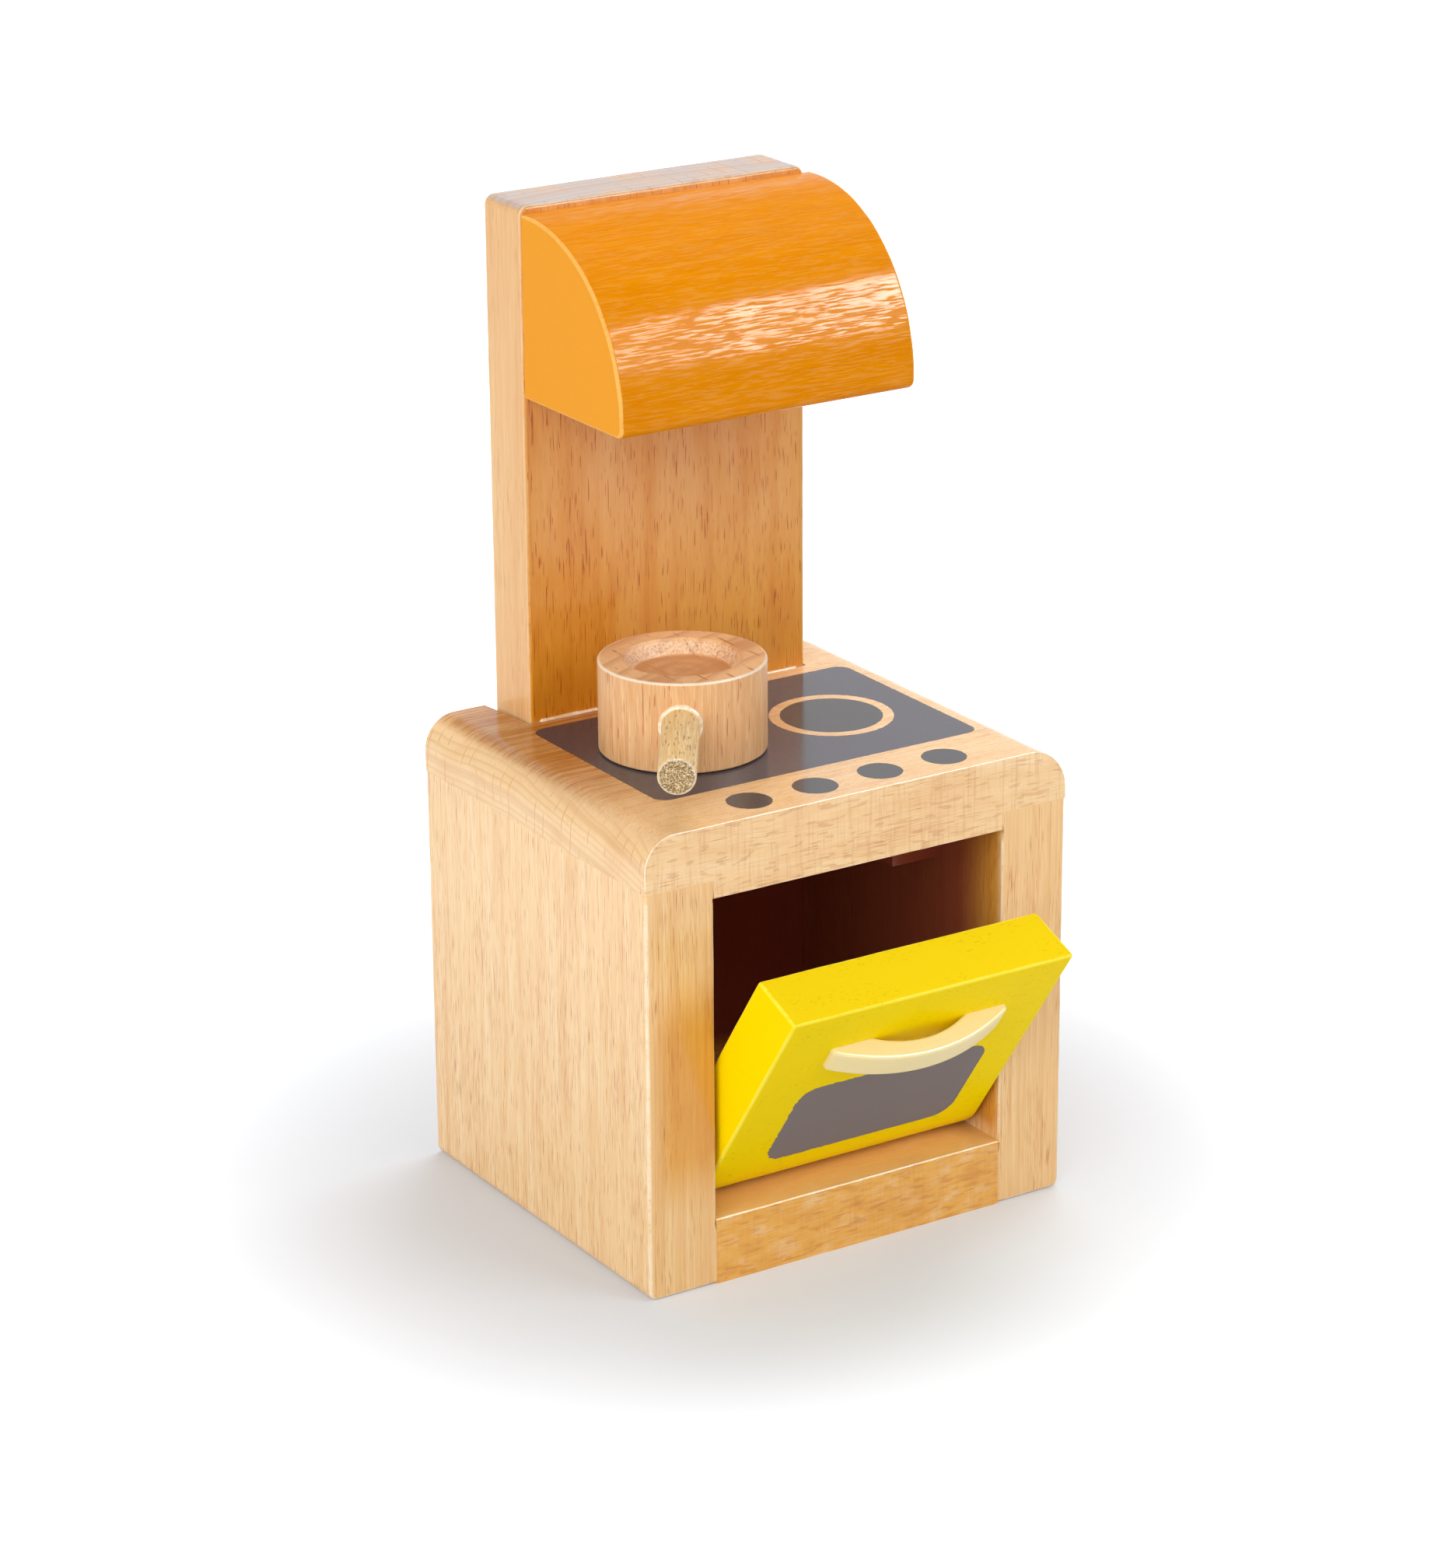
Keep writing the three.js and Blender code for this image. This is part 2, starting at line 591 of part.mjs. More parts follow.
function pot() {
  const saucepan = new THREE.Group();
  saucepan.position.set(
    HOB_SHIFT - BURNER_SPACING / 2 + POT_SHIFT_X,
    FRONT + HOB_SETBACK + POT_SHIFT_Y,
    WORKTOP_HEIGHT + POT_REST_GAP);
  saucepan.rotation.z = THREE.MathUtils.degToRad(POT_HANDLE_BEARING_DEG);
  saucepan.add(potBody(), potHandle());
  return saucepan;
}

const kitchen = new THREE.Group();
kitchen.name = 'dollhouse_kitchen';
kitchen.add(worktop(), sidePanel(-1), sidePanel(1), bottomBoard(), backBoard(), rangeHood(), doorStop());
kitchen.add(...dowelRuns().map(dowel));
kitchen.add(doorAssembly());
kitchen.add(pot());

export default kitchen;
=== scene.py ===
import json
import math

import bmesh
import bpy
from bpy.props import FloatProperty, FloatVectorProperty, IntProperty, PointerProperty
from mathutils import Matrix, Vector, noise


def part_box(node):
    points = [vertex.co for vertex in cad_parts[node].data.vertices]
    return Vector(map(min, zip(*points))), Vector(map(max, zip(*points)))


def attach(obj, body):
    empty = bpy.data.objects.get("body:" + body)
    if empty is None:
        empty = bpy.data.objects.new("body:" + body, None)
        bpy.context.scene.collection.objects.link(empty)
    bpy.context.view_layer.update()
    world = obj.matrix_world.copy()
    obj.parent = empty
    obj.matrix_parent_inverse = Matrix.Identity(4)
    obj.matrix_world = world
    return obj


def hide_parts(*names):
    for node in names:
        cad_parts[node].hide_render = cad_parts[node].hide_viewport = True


bl_info = {
    "name": "Dollhouse Kitchen",
    "version": (1, 0, 0),
    "blender": (4, 5, 0),
    "location": "3D View > Sidebar > Kitchen",
    "description": "Builds a beech dollhouse kitchen with an oven door, a cooker hood and a saucepan",
    "category": "Add Mesh",
}

MM = 0.001
MESH_STEP = 1.5 * MM
TOUCHING = 0.01 * MM
MERGED = 1e-6
SHARP_EDGE = math.radians(30)
BENT_EDGE = math.radians(2)
SHADING_EDGE = 35
ALL_SMOOTH = 180
HAND_SANDING = 0.035 * MM
SANDING_WAVES = 3 * MM
GRAIN_DEPTH = 0.009
ROUND_PARTS = 4

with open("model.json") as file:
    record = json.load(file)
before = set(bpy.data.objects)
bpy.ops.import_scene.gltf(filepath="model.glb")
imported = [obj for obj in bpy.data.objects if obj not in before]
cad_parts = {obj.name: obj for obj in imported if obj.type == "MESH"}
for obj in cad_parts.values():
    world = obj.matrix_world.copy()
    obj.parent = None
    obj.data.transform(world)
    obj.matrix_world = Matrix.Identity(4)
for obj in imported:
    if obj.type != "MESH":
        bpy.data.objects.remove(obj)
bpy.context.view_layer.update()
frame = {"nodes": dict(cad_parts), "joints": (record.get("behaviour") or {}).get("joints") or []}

HINGE = next(joint for joint in frame["joints"] if joint["name"] == "door_hinge")
PIVOT = Vector(HINGE["pos_m"])
DOOR_ANGLE = math.radians(-HINGE["range_deg"][0])


# Sizes and colours

def srgb(*levels):
    """A colour written as on a screen, 0 to 255, as Blender's linear values."""
    parts = [level / 255 for level in levels]
    return tuple(part / 12.92 if part <= 0.04045 else ((part + 0.055) / 1.055) ** 2.4 for part in parts)


def length(name, description, default):
    return FloatProperty(
        name=name, description=description, default=default * MM, min=0, precision=5, unit="LENGTH")


def colour(name, description, red, green, blue):
    return FloatVectorProperty(
        name=name, description=description, default=srgb(red, green, blue), subtype="COLOR", min=0, max=1)


def angle(name, description, degrees):
    return FloatProperty(name=name, description=description, default=math.radians(degrees), subtype="ANGLE")


def number(name, description, default, unit="NONE"):
    return FloatProperty(name=name, description=description, default=default, unit=unit)


class KitchenSizes(bpy.types.PropertyGroup):
    """Sizes that the frame's boxes don't give."""
    sanded_edge: length("Sanded edge", "Rounding of the cabinet's outer edges", 0.6)
    opening_edge: length("Opening edge", "Rounding of the edges round the oven opening", 0.35)
    worktop_left: length("Worktop left end", "Radius of the worktop's left end", 4.5)
    worktop_right: length("Worktop right end", "Radius of the worktop's right end", 6)
    foot_radius: length("Foot radius", "Rounding where the side panels meet the floor", 1.3)
    rebate: length("Rebate", "How far the side panels reach up into the worktop", 2.5)
    notch_front: length("Notch front gap", "Gap beside the back board at the notch's inner end", 0.2)
    notch_rear: length("Notch rear gap", "Gap beside the back board at the worktop's rear", 1.4)
    plank_corner: length("Back board corner", "Corner radius of the back board", 1.4)
    hood_lip: length("Hood lip", "Rounding of the hood's lower front edge", 1.6)
    hood_edge: length("Hood edge", "Rounding of the hood's end edges", 0.55)
    door_toe: length("Door toe", "Radius of the door's lower front edge", 7.2)
    door_fall: length("Door fall", "How much lower the door's top is at its back", 2.2)
    door_edge: length("Door edge", "Rounding of the door's edges", 0.5)
    door_pivot_depth: length("Pivot depth", "From the door's front face to its pivot line", 6.45)
    handle_bulge: length("Handle bulge", "How far the handle stands out from the door", 4.15)
    handle_grip: length("Handle grip", "Thickness of the handle's middle", 2.5)
    handle_foot: length("Handle foot", "Length of each foot that lies on the door", 6.7)
    handle_end: length("Handle end", "Thickness of the handle's blunt ends", 0.7)
    handle_edge: length("Handle edge", "Rounding of the handle's edges", 0.45)
    hob_width: length("Hob width", "Width of the printed hob", 50.2)
    hob_depth: length("Hob depth", "Depth of the printed hob", 32.9)
    hob_corner: length("Hob corner", "Corner radius of the printed hob", 2)
    hob_shift: length("Hob shift", "How far the printed hob lies right of the middle", 1.4)
    hob_front: length("Hob front", "From the worktop's front to the printed hob", 10.9)
    ring_shift: length("Ring shift", "How far the rings and controls lie right of the middle", 1.35)
    ring_setback: length("Ring setback", "From the worktop's front to the rings' middles", 27)
    dot_setback: length("Dot setback", "From the worktop's front to the controls' middles", 5.1)
    ring_outer: length("Ring outside", "Outer radius of a hob ring", 8.43)
    ring_inner: length("Ring inside", "Inner radius of a hob ring", 6.95)
    ring_spacing: length("Ring spacing", "Between the middles of the two hob rings", 24.1)
    dot_radius: length("Dot radius", "Radius of a printed hob control", 3.03)
    dot_spacing: length("Dot spacing", "Between two printed hob controls", 10.13)
    window_width: length("Window width", "Width of the printed oven window", 29.7)
    window_height: length("Window height", "Height of the printed oven window", 16.8)
    window_corner: length("Window corner", "Corner radius of the printed oven window", 3)
    window_shift: length("Window shift", "How far the window lies right of the middle", 0.95)
    window_rise: length("Window rise", "From the door's foot to the window", 9.3)
    pan_recess: length("Pan recess", "Radius of the saucepan's recess at the rim", 7.7)
    pan_floor: length("Pan floor", "Radius of the saucepan's recess at its floor", 6.3)
    pan_depth: length("Pan depth", "Depth of the saucepan's recess", 1.9)
    pan_edge: length("Pan edge", "Rounding of the saucepan's edges", 0.3)
    glue_ring: length("Glue ring", "Thickness of the dried glue at the saucepan handle's root", 0.5)
    glue_bead: length("Glue bead", "Thickness of the dried glue at the back board's foot", 0.3)
    glue_recess: length("Glue recess", "How far the glue in the rear seams lies below the faces", 0.35)
    glue_seed: IntProperty(name="Glue seed", description="Changes where the glue lies thick", default=7)


class KitchenColours(bpy.types.PropertyGroup):
    """Colours of the wood, paint and print, and of the light and shade painted on them."""
    beech: colour("Beech", "Lacquered beech", 246, 206, 150)
    beech_pale: colour("Pale beech", "Lighter streaks in the beech", 253, 224, 176)
    beech_shade: colour("Beech shade", "Darker streaks in the beech", 230, 176, 112)
    beech_fleck: colour("Beech fleck", "Ray flecks and fine lines in the beech", 190, 106, 40)
    # Painted shade on the back board's sides and front.
    plank_painted_shade: colour("Back board tint", "Painted shade on the back board's sides and front", 232, 196, 150)
    # Painted warm reflected light low on the back board's front.
    plank_warm_bounce: colour("Back board foot", "Painted warm reflected light low on the back board's front", 252, 232, 120)
    # Back board end grain, greyed partly as a painted reflection on its top.
    plank_end: colour("Back board end", "End grain of the back board, greyed partly as a painted reflection on its top", 194, 180, 174)
    rail: colour("Bottom board", "Beech of the bottom board", 238, 176, 80)
    rail_shade: colour("Bottom board shade", "Reddish patches in the bottom board", 214, 140, 60)
    # Painted shade and orange reflection on the worktop's top near the back board.
    worktop_painted_shade: colour("Deep tint", "Painted shade and orange reflection on the worktop's top", 200, 158, 88)
    # Painted yellow reflection beside the door, and painted shade on the panels' fronts and inside the oven.
    golden_painted_light: colour("Golden tint", "Painted yellow reflection beside the door, painted shade on the panels' fronts and in the oven", 232, 190, 60)
    # Painted shade inside the oven.
    inside: colour("Oven inside", "Painted shade inside the oven", 140, 64, 56)
    end_grain: colour("End grain", "End grain of the lacquered boards", 243, 204, 148)
    end_line: colour("End lines", "Rays and rings in the end grain", 196, 124, 58)
    # Pale worn lacquer, also a painted highlight on rounded edges and the saucepan's rim.
    pale_wear_and_highlight: colour("Worn edge", "Thin pale lacquer on the edges, partly a painted highlight", 255, 246, 226)
    pan: colour("Pan", "Beech of the saucepan", 229, 176, 121)
    pan_pale: colour("Pan streak", "Lighter streaks in the saucepan", 246, 208, 156)
    # Darker streaks, and painted shade on the saucepan's recess floor.
    pan_shade: colour("Pan shade", "Darker streaks in the saucepan, and painted shade on its recess floor", 212, 150, 92)
    pan_line: colour("Pan lines", "Rays and rings in the saucepan", 184, 106, 56)
    pan_end: colour("Pan end grain", "End grain on the saucepan's rim", 250, 204, 150)
    dowel: colour("Dowel", "Bare wood of the dowels", 240, 203, 140)
    dowel_pale: colour("Dowel streak", "Lighter streaks in the dowels", 252, 230, 186)
    dowel_shade: colour("Dowel shade", "Streaks in the dowels", 216, 168, 100)
    dowel_pore: colour("Dowel pores", "Open pores of the dowels", 104, 74, 36)
    dowel_end: colour("Dowel end", "End grain of the dowels", 206, 172, 118)
    orange: colour("Orange", "Hood paint", 222, 132, 1)
    orange_thin: colour("Thin orange", "Hood paint where it lies thin", 232, 146, 10)
    orange_deep: colour("Deep orange", "Pits in the hood paint", 196, 100, 0)
    # Paint on the hood's ends, lighter partly as painted light.
    orange_end: colour("Orange end", "Hood paint on the end grain, lighter partly as painted light", 244, 164, 52)
    # Paler paint on the hood's edges, and a painted sheen in streaks.
    orange_edge_and_sheen: colour("Orange edge", "Paler hood paint on the edges, and a painted sheen in streaks", 252, 196, 110)
    yellow: colour("Yellow", "Door paint", 255, 222, 0)
    # Pores in the door paint, and painted shade on the door's top.
    yellow_pore_and_shade: colour("Deep yellow", "Pores in the door paint, and painted shade on the door's top", 180, 146, 2)
    yellow_edge: colour("Yellow edge", "Door paint on the edges", 252, 238, 90)
    cream: colour("Cream", "Handle plastic", 250, 230, 170)
    cream_shade: colour("Cream shade", "Flow lines in the handle plastic", 242, 214, 146)
    print_grey: colour("Print grey", "Hob print", 72, 70, 82)
    disc_grey: colour("Disc grey", "Middles of the hob rings and the controls", 58, 55, 60)
    window_grey: colour("Window grey", "Oven window print", 134, 124, 122)
    glue: colour("Glue", "Dried glue", 255, 238, 210)
    steel: colour("Steel", "Steel of the door's pins", 178, 182, 186)
    floor: colour("Floor", "Floor and backdrop", 207, 210, 215)


class KitchenStage(bpy.types.PropertyGroup):
    """Camera and lamps."""
    camera_place: FloatVectorProperty(
        name="Camera place", description="Where the camera stands", subtype="XYZ", unit="LENGTH",
        default=(-0.319746, -0.500037, 0.272432))
    heading: angle("Heading", "Camera's turn from +Y towards +X", 32.2474)
    tilt: angle("Tilt", "How far the camera looks down", 19.9944)
    roll: angle("Roll", "Camera's turn about its own line of sight", -0.457)
    lens: number("Lens", "Focal length in millimetres", 108.332, "CAMERA")
    key_power: number("Key power", "Front right softbox in watts", 0.9, "POWER")
    top_power: number("Top power", "Overhead softbox in watts", 2.0, "POWER")
    fill_power: number("Fill power", "Left softbox in watts", 3.7, "POWER")
    shine_power: number("Shine power", "Lamp that only shines in gloss, in watts", 8.0, "POWER")
    sky: number("Sky", "Strength of the pale surroundings", 0.38)


def shade(name):
    """One of the user's colours."""
    return getattr(bpy.context.scene.kitchen_colours, name)


# Mesh shapes

def rounded(corners, steps):
    """Points of a closed outline. A corner is (u, v, radius), and its radius becomes an arc."""
    points = []
    for index, (u, v, radius) in enumerate(corners):
        corner = Vector((u, v))
        if radius == 0:
            points.append(corner)
            continue
        before = Vector(corners[index - 1][:2])
        after = Vector(corners[(index + 1) % len(corners)][:2])
        start = corner + (before - corner).normalized() * radius
        end = corner + (after - corner).normalized() * radius
        centre = start + end - corner
        for step in range(steps + 1):
            turn = step / steps * math.pi / 2
            points.append(centre + (start - centre) * math.cos(turn) + (end - centre) * math.sin(turn))
    return points


def spaced(points, spacing):
    """The same closed outline with no stretch longer than the spacing."""
    result = []
    for index, point in enumerate(points):
        after = points[(index + 1) % len(points)]
        count = max(1, math.ceil((after - point).length / spacing))
        result.extend(point.lerp(after, step / count) for step in range(count))
    return result


def placed(axis, u, v, along):
    """An outline's point on the axis that the outline runs along."""
    return {"X": (along, u, v), "Y": (u, along, v), "Z": (u, v, along)}[axis]


def prism(points, axis, low, high, spacing):
    """A closed solid that an outline makes along an axis."""
    mesh = bmesh.new()
    count = max(1, math.ceil((high - low) / spacing))
    rings = []
    for ring in range(count + 1):
        along = low + (high - low) * ring / count
        rings.append([mesh.verts.new(placed(axis, point.x, point.y, along)) for point in points])
    mesh.faces.new(rings[0])
    mesh.faces.new(rings[-1])
    for ring, following in zip(rings, rings[1:]):
        for index in range(len(points)):
            mesh.faces.new((ring[index - 1], ring[index], following[index], following[index - 1]))
    bmesh.ops.recalc_face_normals(mesh, faces=mesh.faces)
    return mesh


def bar(corners, axis, low, high, steps=8, spacing=MESH_STEP):
    """A closed solid along an axis, from the corners of its outline."""
    return prism(spaced(rounded(corners, steps), spacing), axis, low, high, spacing)


def round_edges(mesh, width, pick=lambda middle: True):
    """Rounds the sharp edges whose middle the pick accepts, and marks the rounding as worn."""
    wear = mesh.verts.layers.float.get("wear") or mesh.verts.layers.float.new("wear")
    edges = []
    for edge in mesh.edges:
        middle = (edge.verts[0].co + edge.verts[1].co) / 2
        if edge.calc_face_angle(0) > SHARP_EDGE and pick(middle):
            edges.append(edge)
    made = bmesh.ops.bevel(
        mesh, geom=edges, offset=width, offset_type="OFFSET", segments=ROUND_PARTS, profile=0.5,
        affect="EDGES", clamp_overlap=True)
    rounding = set(made["faces"])
    for vertex in {vertex for face in rounding for vertex in face.verts}:
        if all(face in rounding for face in vertex.link_faces):
            vertex[wear] = 1


def hand_sanded(mesh, seed, amount=HAND_SANDING, scale=SANDING_WAVES):
    """Makes the rounded places slightly uneven and leaves the flat faces flat."""
    noise.seed_set(seed)
    for vertex in mesh.verts:
        if max(edge.calc_face_angle(0) for edge in vertex.link_edges) > BENT_EDGE:
            vertex.co += noise.noise_vector(vertex.co / scale) * amount


def near(value, *targets):
    return any(abs(value - target) < TOUCHING for target in targets)


def edge_arc(radius, height, edge):
    """Profile points of a rounded top edge, from the side to the top."""
    turns = [step / ROUND_PARTS * math.pi / 2 for step in range(ROUND_PARTS + 1)]
    return [(radius - edge + edge * math.cos(turn), height - edge + edge * math.sin(turn)) for turn in turns]


def turned(profile, sides):
    """A closed solid turned about the Z axis. The profile starts and ends on the axis."""
    mesh = bmesh.new()
    first = mesh.verts.new((0, 0, profile[0][1]))
    last = mesh.verts.new((0, 0, profile[-1][1]))
    angles = [2 * math.pi * side / sides for side in range(sides)]
    rings = []
    for radius, height in profile[1:-1]:
        rings.append([mesh.verts.new((radius * math.cos(a), radius * math.sin(a), height)) for a in angles])
    for index in range(sides):
        before = index - 1
        mesh.faces.new((first, rings[0][before], rings[0][index]))
        mesh.faces.new((last, rings[-1][index], rings[-1][before]))
        for ring, following in zip(rings, rings[1:]):
            mesh.faces.new((ring[before], ring[index], following[index], following[before]))
    bmesh.ops.recalc_face_normals(mesh, faces=mesh.faces)
    return mesh


def swung_open(mesh):
    """Turns a door piece from its shut place, drawn about the pivot line, to its open place."""
    mesh.transform(Matrix.Translation(PIVOT) @ Matrix.Rotation(DOOR_ANGLE, 4, "X"))


def shut_box(node):
    """Lowest and highest corners of a door piece when it is shut, about the pivot line."""
    back = Matrix.Rotation(-DOOR_ANGLE, 3, "X")
    points = [back @ (vertex.co - PIVOT) for vertex in frame["nodes"][node].data.vertices]
    return [Vector([pick(point[axis] for point in points) for axis in range(3)]) for pick in (min, max)]


def box_in_mm(node):
    """Lowest and highest corners of a CAD node in millimetres."""
    return [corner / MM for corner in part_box(node)]


def add_piece(mesh, name, material, body, node=None, sharp=SHADING_EDGE):
    """Makes the object for a mesh, has it ride on its body and stand for its CAD node."""
    data = bpy.data.meshes.new(name)
    mesh.to_mesh(data)
    mesh.free()
    data.shade_smooth()
    data.set_sharp_from_angle(angle=math.radians(sharp))
    data.materials.append(material)
    piece = bpy.data.objects.new(name, data)
    bpy.context.scene.collection.objects.link(piece)
    shading = piece.modifiers.new("Even shading", "WEIGHTED_NORMAL")
    shading.keep_sharp = True
    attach(piece, body)
    if node:
        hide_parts(node)
    return piece


# Node trees

class Wire:
    """A number, vector or colour in a node tree. Sums with a number add Math nodes."""

    def __init__(self, socket):
        self.socket = socket
        self.tree = socket.id_data

    def math(self, operation, *others):
        inputs = dict(enumerate((self, *others)))
        return Wire(add(self.tree, "ShaderNodeMath", inputs, operation=operation).outputs[0])

    def __add__(self, other):
        return self.math("ADD", other)

    def __sub__(self, other):
        return self.math("SUBTRACT", other)

    def __mul__(self, other):
        return self.math("MULTIPLY", other)

    def __abs__(self):
        return self.math("ABSOLUTE")

    def least(self, other):
        return self.math("MINIMUM", other)

    def most(self, other):
        return self.math("MAXIMUM", other)

    def opposite(self):
        return self.math("MULTIPLY_ADD", -1.0, 1.0)

    def rise(self, low, high):
        """0 below low and 1 above high, with a soft step between them."""
        node = add(self.tree, "ShaderNodeMapRange", {"Value": self, "From Min": low, "From Max": high},
                   interpolation_type="SMOOTHSTEP")
        return Wire(node.outputs[0])

    def vector(self, operation, other):
        node = add(self.tree, "ShaderNodeVectorMath", {0: self, 1: other}, operation=operation)
        return Wire(node.outputs[0])

    def parts(self):
        """The three parts of a vector."""
        return [Wire(socket) for socket in add(self.tree, "ShaderNodeSeparateXYZ", {0: self}).outputs]

    def reordered(self, order):
        """The vector with its parts in another order, such as ZYX."""
        parts = dict(zip("XYZ", self.parts()))
        return joined(self.tree, *(parts[letter] for letter in order))

    def cloud(self, size, detail=2.0, roughness=0.5):
        """Noise at this position, whose blotches have about this size along each axis."""
        node = add(self.tree, "ShaderNodeTexNoise", {
            "Vector": self.vector("DIVIDE", size), "Scale": 1.0, "Detail": detail, "Roughness": roughness})
        return Wire(node.outputs[0])


def feed(entry, value):
    """Links a wire to a node's input, or sets the input to a plain value."""
    if isinstance(value, Wire):
        value.tree.links.new(value.socket, entry)
    elif entry.type == "RGBA" and len(value) == 3:
        entry.default_value = (*value, 1)
    else:
        entry.default_value = value


def add(tree, kind, inputs=None, **settings):
    """Adds a node with its settings and with its inputs by name or place."""
    node = tree.nodes.new(kind)
    for name, value in settings.items():
        setattr(node, name, value)
    for key, value in (inputs or {}).items():
        feed(node.inputs[key], value)
    return node


def joined(tree, x, y, z):
    return Wire(add(tree, "ShaderNodeCombineXYZ", {"X": x, "Y": y, "Z": z}).outputs[0])


def mixed(factor, first, second, blend="MIX"):
    """A colour between two colours."""
    inputs = {0: factor, 6: first, 7: second}
    return Wire(add(factor.tree, "ShaderNodeMix", inputs, data_type="RGBA", blend_type=blend).outputs[2])


def layered(color, *layers):
    """A colour with layers over it, each its amount and its colour."""
    for amount, over in layers:
        color = mixed(amount, color, over)
    return color


def socket_type(default):
    """The type of a socket with this default. A text is the type of a socket that has none."""
    if isinstance(default, str):
        return default
    if isinstance(default, (int, float)):
        return "Int" if isinstance(default, int) else "Float"
    return "Vector" if len(default) == 3 else "Color"


def new_group(name, kind, inputs, outputs):
    """An empty node group, its inputs as wires and its outputs. An input is its name and its default."""
    tree = bpy.data.node_groups.new(name, kind)
    for title, default in inputs.items():
        socket = tree.interface.new_socket(
            title, in_out="INPUT", socket_type="NodeSocket" + socket_type(default))
        if not isinstance(default, str):
            socket.default_value = default
    for title, output in outputs.items():
        tree.interface.new_socket(title, in_out="OUTPUT", socket_type="NodeSocket" + output)
    source = {socket.name: Wire(socket) for socket in tree.nodes.new("NodeGroupInput").outputs}
    return tree, source, tree.nodes.new("NodeGroupOutput").inputs


def use_group(tree, name, inputs):
    """Places a shader group, which is made when it is first used, and returns its outputs as wires."""
    group = bpy.data.node_groups.get(name) or GROUP_MAKERS[name]()
    node = add(tree, "ShaderNodeGroup", inputs, node_tree=group)
    return {socket.name: Wire(socket) for socket in node.outputs}


def make_beech_group():
    """Beech from a place in the board, in millimetres.

    X runs along the grain, Y across it along the growth rings, and Z through the rings.
    """
    white = (1, 1, 1, 1)
    tree, source, target = new_group("Beech", "ShaderNodeTree", {
        "Position": (0, 0, 0), "Normal": (0, 0, 1), "Seed": 0.0,
        "Base": white, "Pale": white, "Shade": white, "Fleck": white, "End Base": white, "End Line": white,
        "Fleck Size": (2.0, 0.2, 0.6), "Fleck Level": 0.62, "Fleck Amount": 0.7, "Side Flecks": 1.0,
        "Line Amount": 0.5, "Cross Amount": 0.0, "Streak Size": (40, 2.2, 3.0), "Streak Amount": 0.6,
        "Fibre Size": (5, 0.16, 0.16), "Fibre Amount": 0.35, "Ring Width": 1.6, "Ray Spacing": 2.6,
        "End Amount": 0.7, "Pith": (0, 0, -150)}, {"Color": "Color", "Height": "Float"})
    seed = source["Seed"]
    position = source["Position"].vector("ADD", joined(tree, seed * 37.1, seed * 17.3, seed * 11.9))
    bend = position.cloud((50, 16, 16), 1.0) - 0.5
    grain = position.vector("ADD", joined(tree, 0.0, bend * 1.2, bend * 1.6))
    facing, sideways, _ = source["Normal"].parts()
    end = abs(facing).rise(0.35, 0.85)
    side = abs(sideways).rise(0.5, 0.9)

    streaks = grain.cloud(source["Streak Size"], 3.0, 0.6)
    blotches = position.cloud((14, 7, 7))
    fibres = grain.cloud(source["Fibre Size"], 3.0, 0.62)
    patches = position.cloud((16, 4, 4), 1.0).rise(0.36, 0.6)
    lines = grain.cloud((4.2, 0.11, 0.11), 1.0).rise(0.58, 0.7) * patches
    shown = side * (source["Side Flecks"] - 1.0) + 1.0
    fleck = (grain.cloud(source["Fleck Size"], 0.6) - source["Fleck Level"]).rise(0.0, 0.05) * shown
    cross = position.cloud((0.34, 0.3, 6.0), 2.0, 0.6).rise(0.48, 0.68)
    streak_amount, fibre_amount = source["Streak Amount"], source["Fibre Amount"]
    tone = layered(
        source["Base"],
        (streaks.rise(0.5, 0.72) * streak_amount, source["Shade"]),
        (streaks.rise(0.32, 0.5).opposite() * streak_amount, source["Pale"]),
        (blotches.rise(0.5, 0.75) * streak_amount * 0.5, source["Shade"]),
        (fibres.rise(0.5, 0.72) * fibre_amount, source["Shade"]),
        (fibres.rise(0.3, 0.5).opposite() * fibre_amount, source["Pale"]),
        (cross * source["Cross Amount"], source["Fleck"]),
        (lines * source["Line Amount"], source["Fleck"]),
        (fleck * source["Fleck Amount"], source["Fleck"]))

    _, across, through = source["Position"].vector("SUBTRACT", source["Pith"]).parts()
    radius = (across * across + through * through).math("SQRT")
    unrest = position.cloud((40, 16, 12))
    rings = (radius + unrest * 1.8).math("DIVIDE", source["Ring Width"])
    ring = rings.math("FRACT")
    late = ring.rise(0.45, 0.92) * ring.rise(0.93, 1.0).opposite()
    year = (rings * 0.21).math("FRACT")
    band = year.rise(0.7, 0.9) * year.rise(0.92, 1.0).opposite()
    turn = across.math("ARCTAN2", through) * radius
    spread = (turn + unrest * 2.0).math("DIVIDE", source["Ray Spacing"])
    ray = abs(spread.math("FRACT") - 0.5).rise(0.02, 0.06).opposite()
    ray = ray * position.cloud((4, 2.4, 3.2)).rise(0.44, 0.58)
    fine_rays = position.cloud((1.0, 0.12, 1.8), 1.0).rise(0.56, 0.7)
    end_marks = (late * 0.45).most(ray).most(fine_rays * 0.35).most(band * 0.5)
    end_tone = layered(
        source["End Base"], (blotches.rise(0.4, 0.7) * 0.4, source["Shade"]),
        (end_marks * source["End Amount"], source["End Line"]))
    feed(target["Color"], mixed(end, tone, end_tone))
    along = fibres * 0.8 - fleck * 0.35 - lines * 0.5
    feed(target["Height"], along * end.opposite() + (fine_rays * -0.5 - ray * 0.5) * end)
    return tree


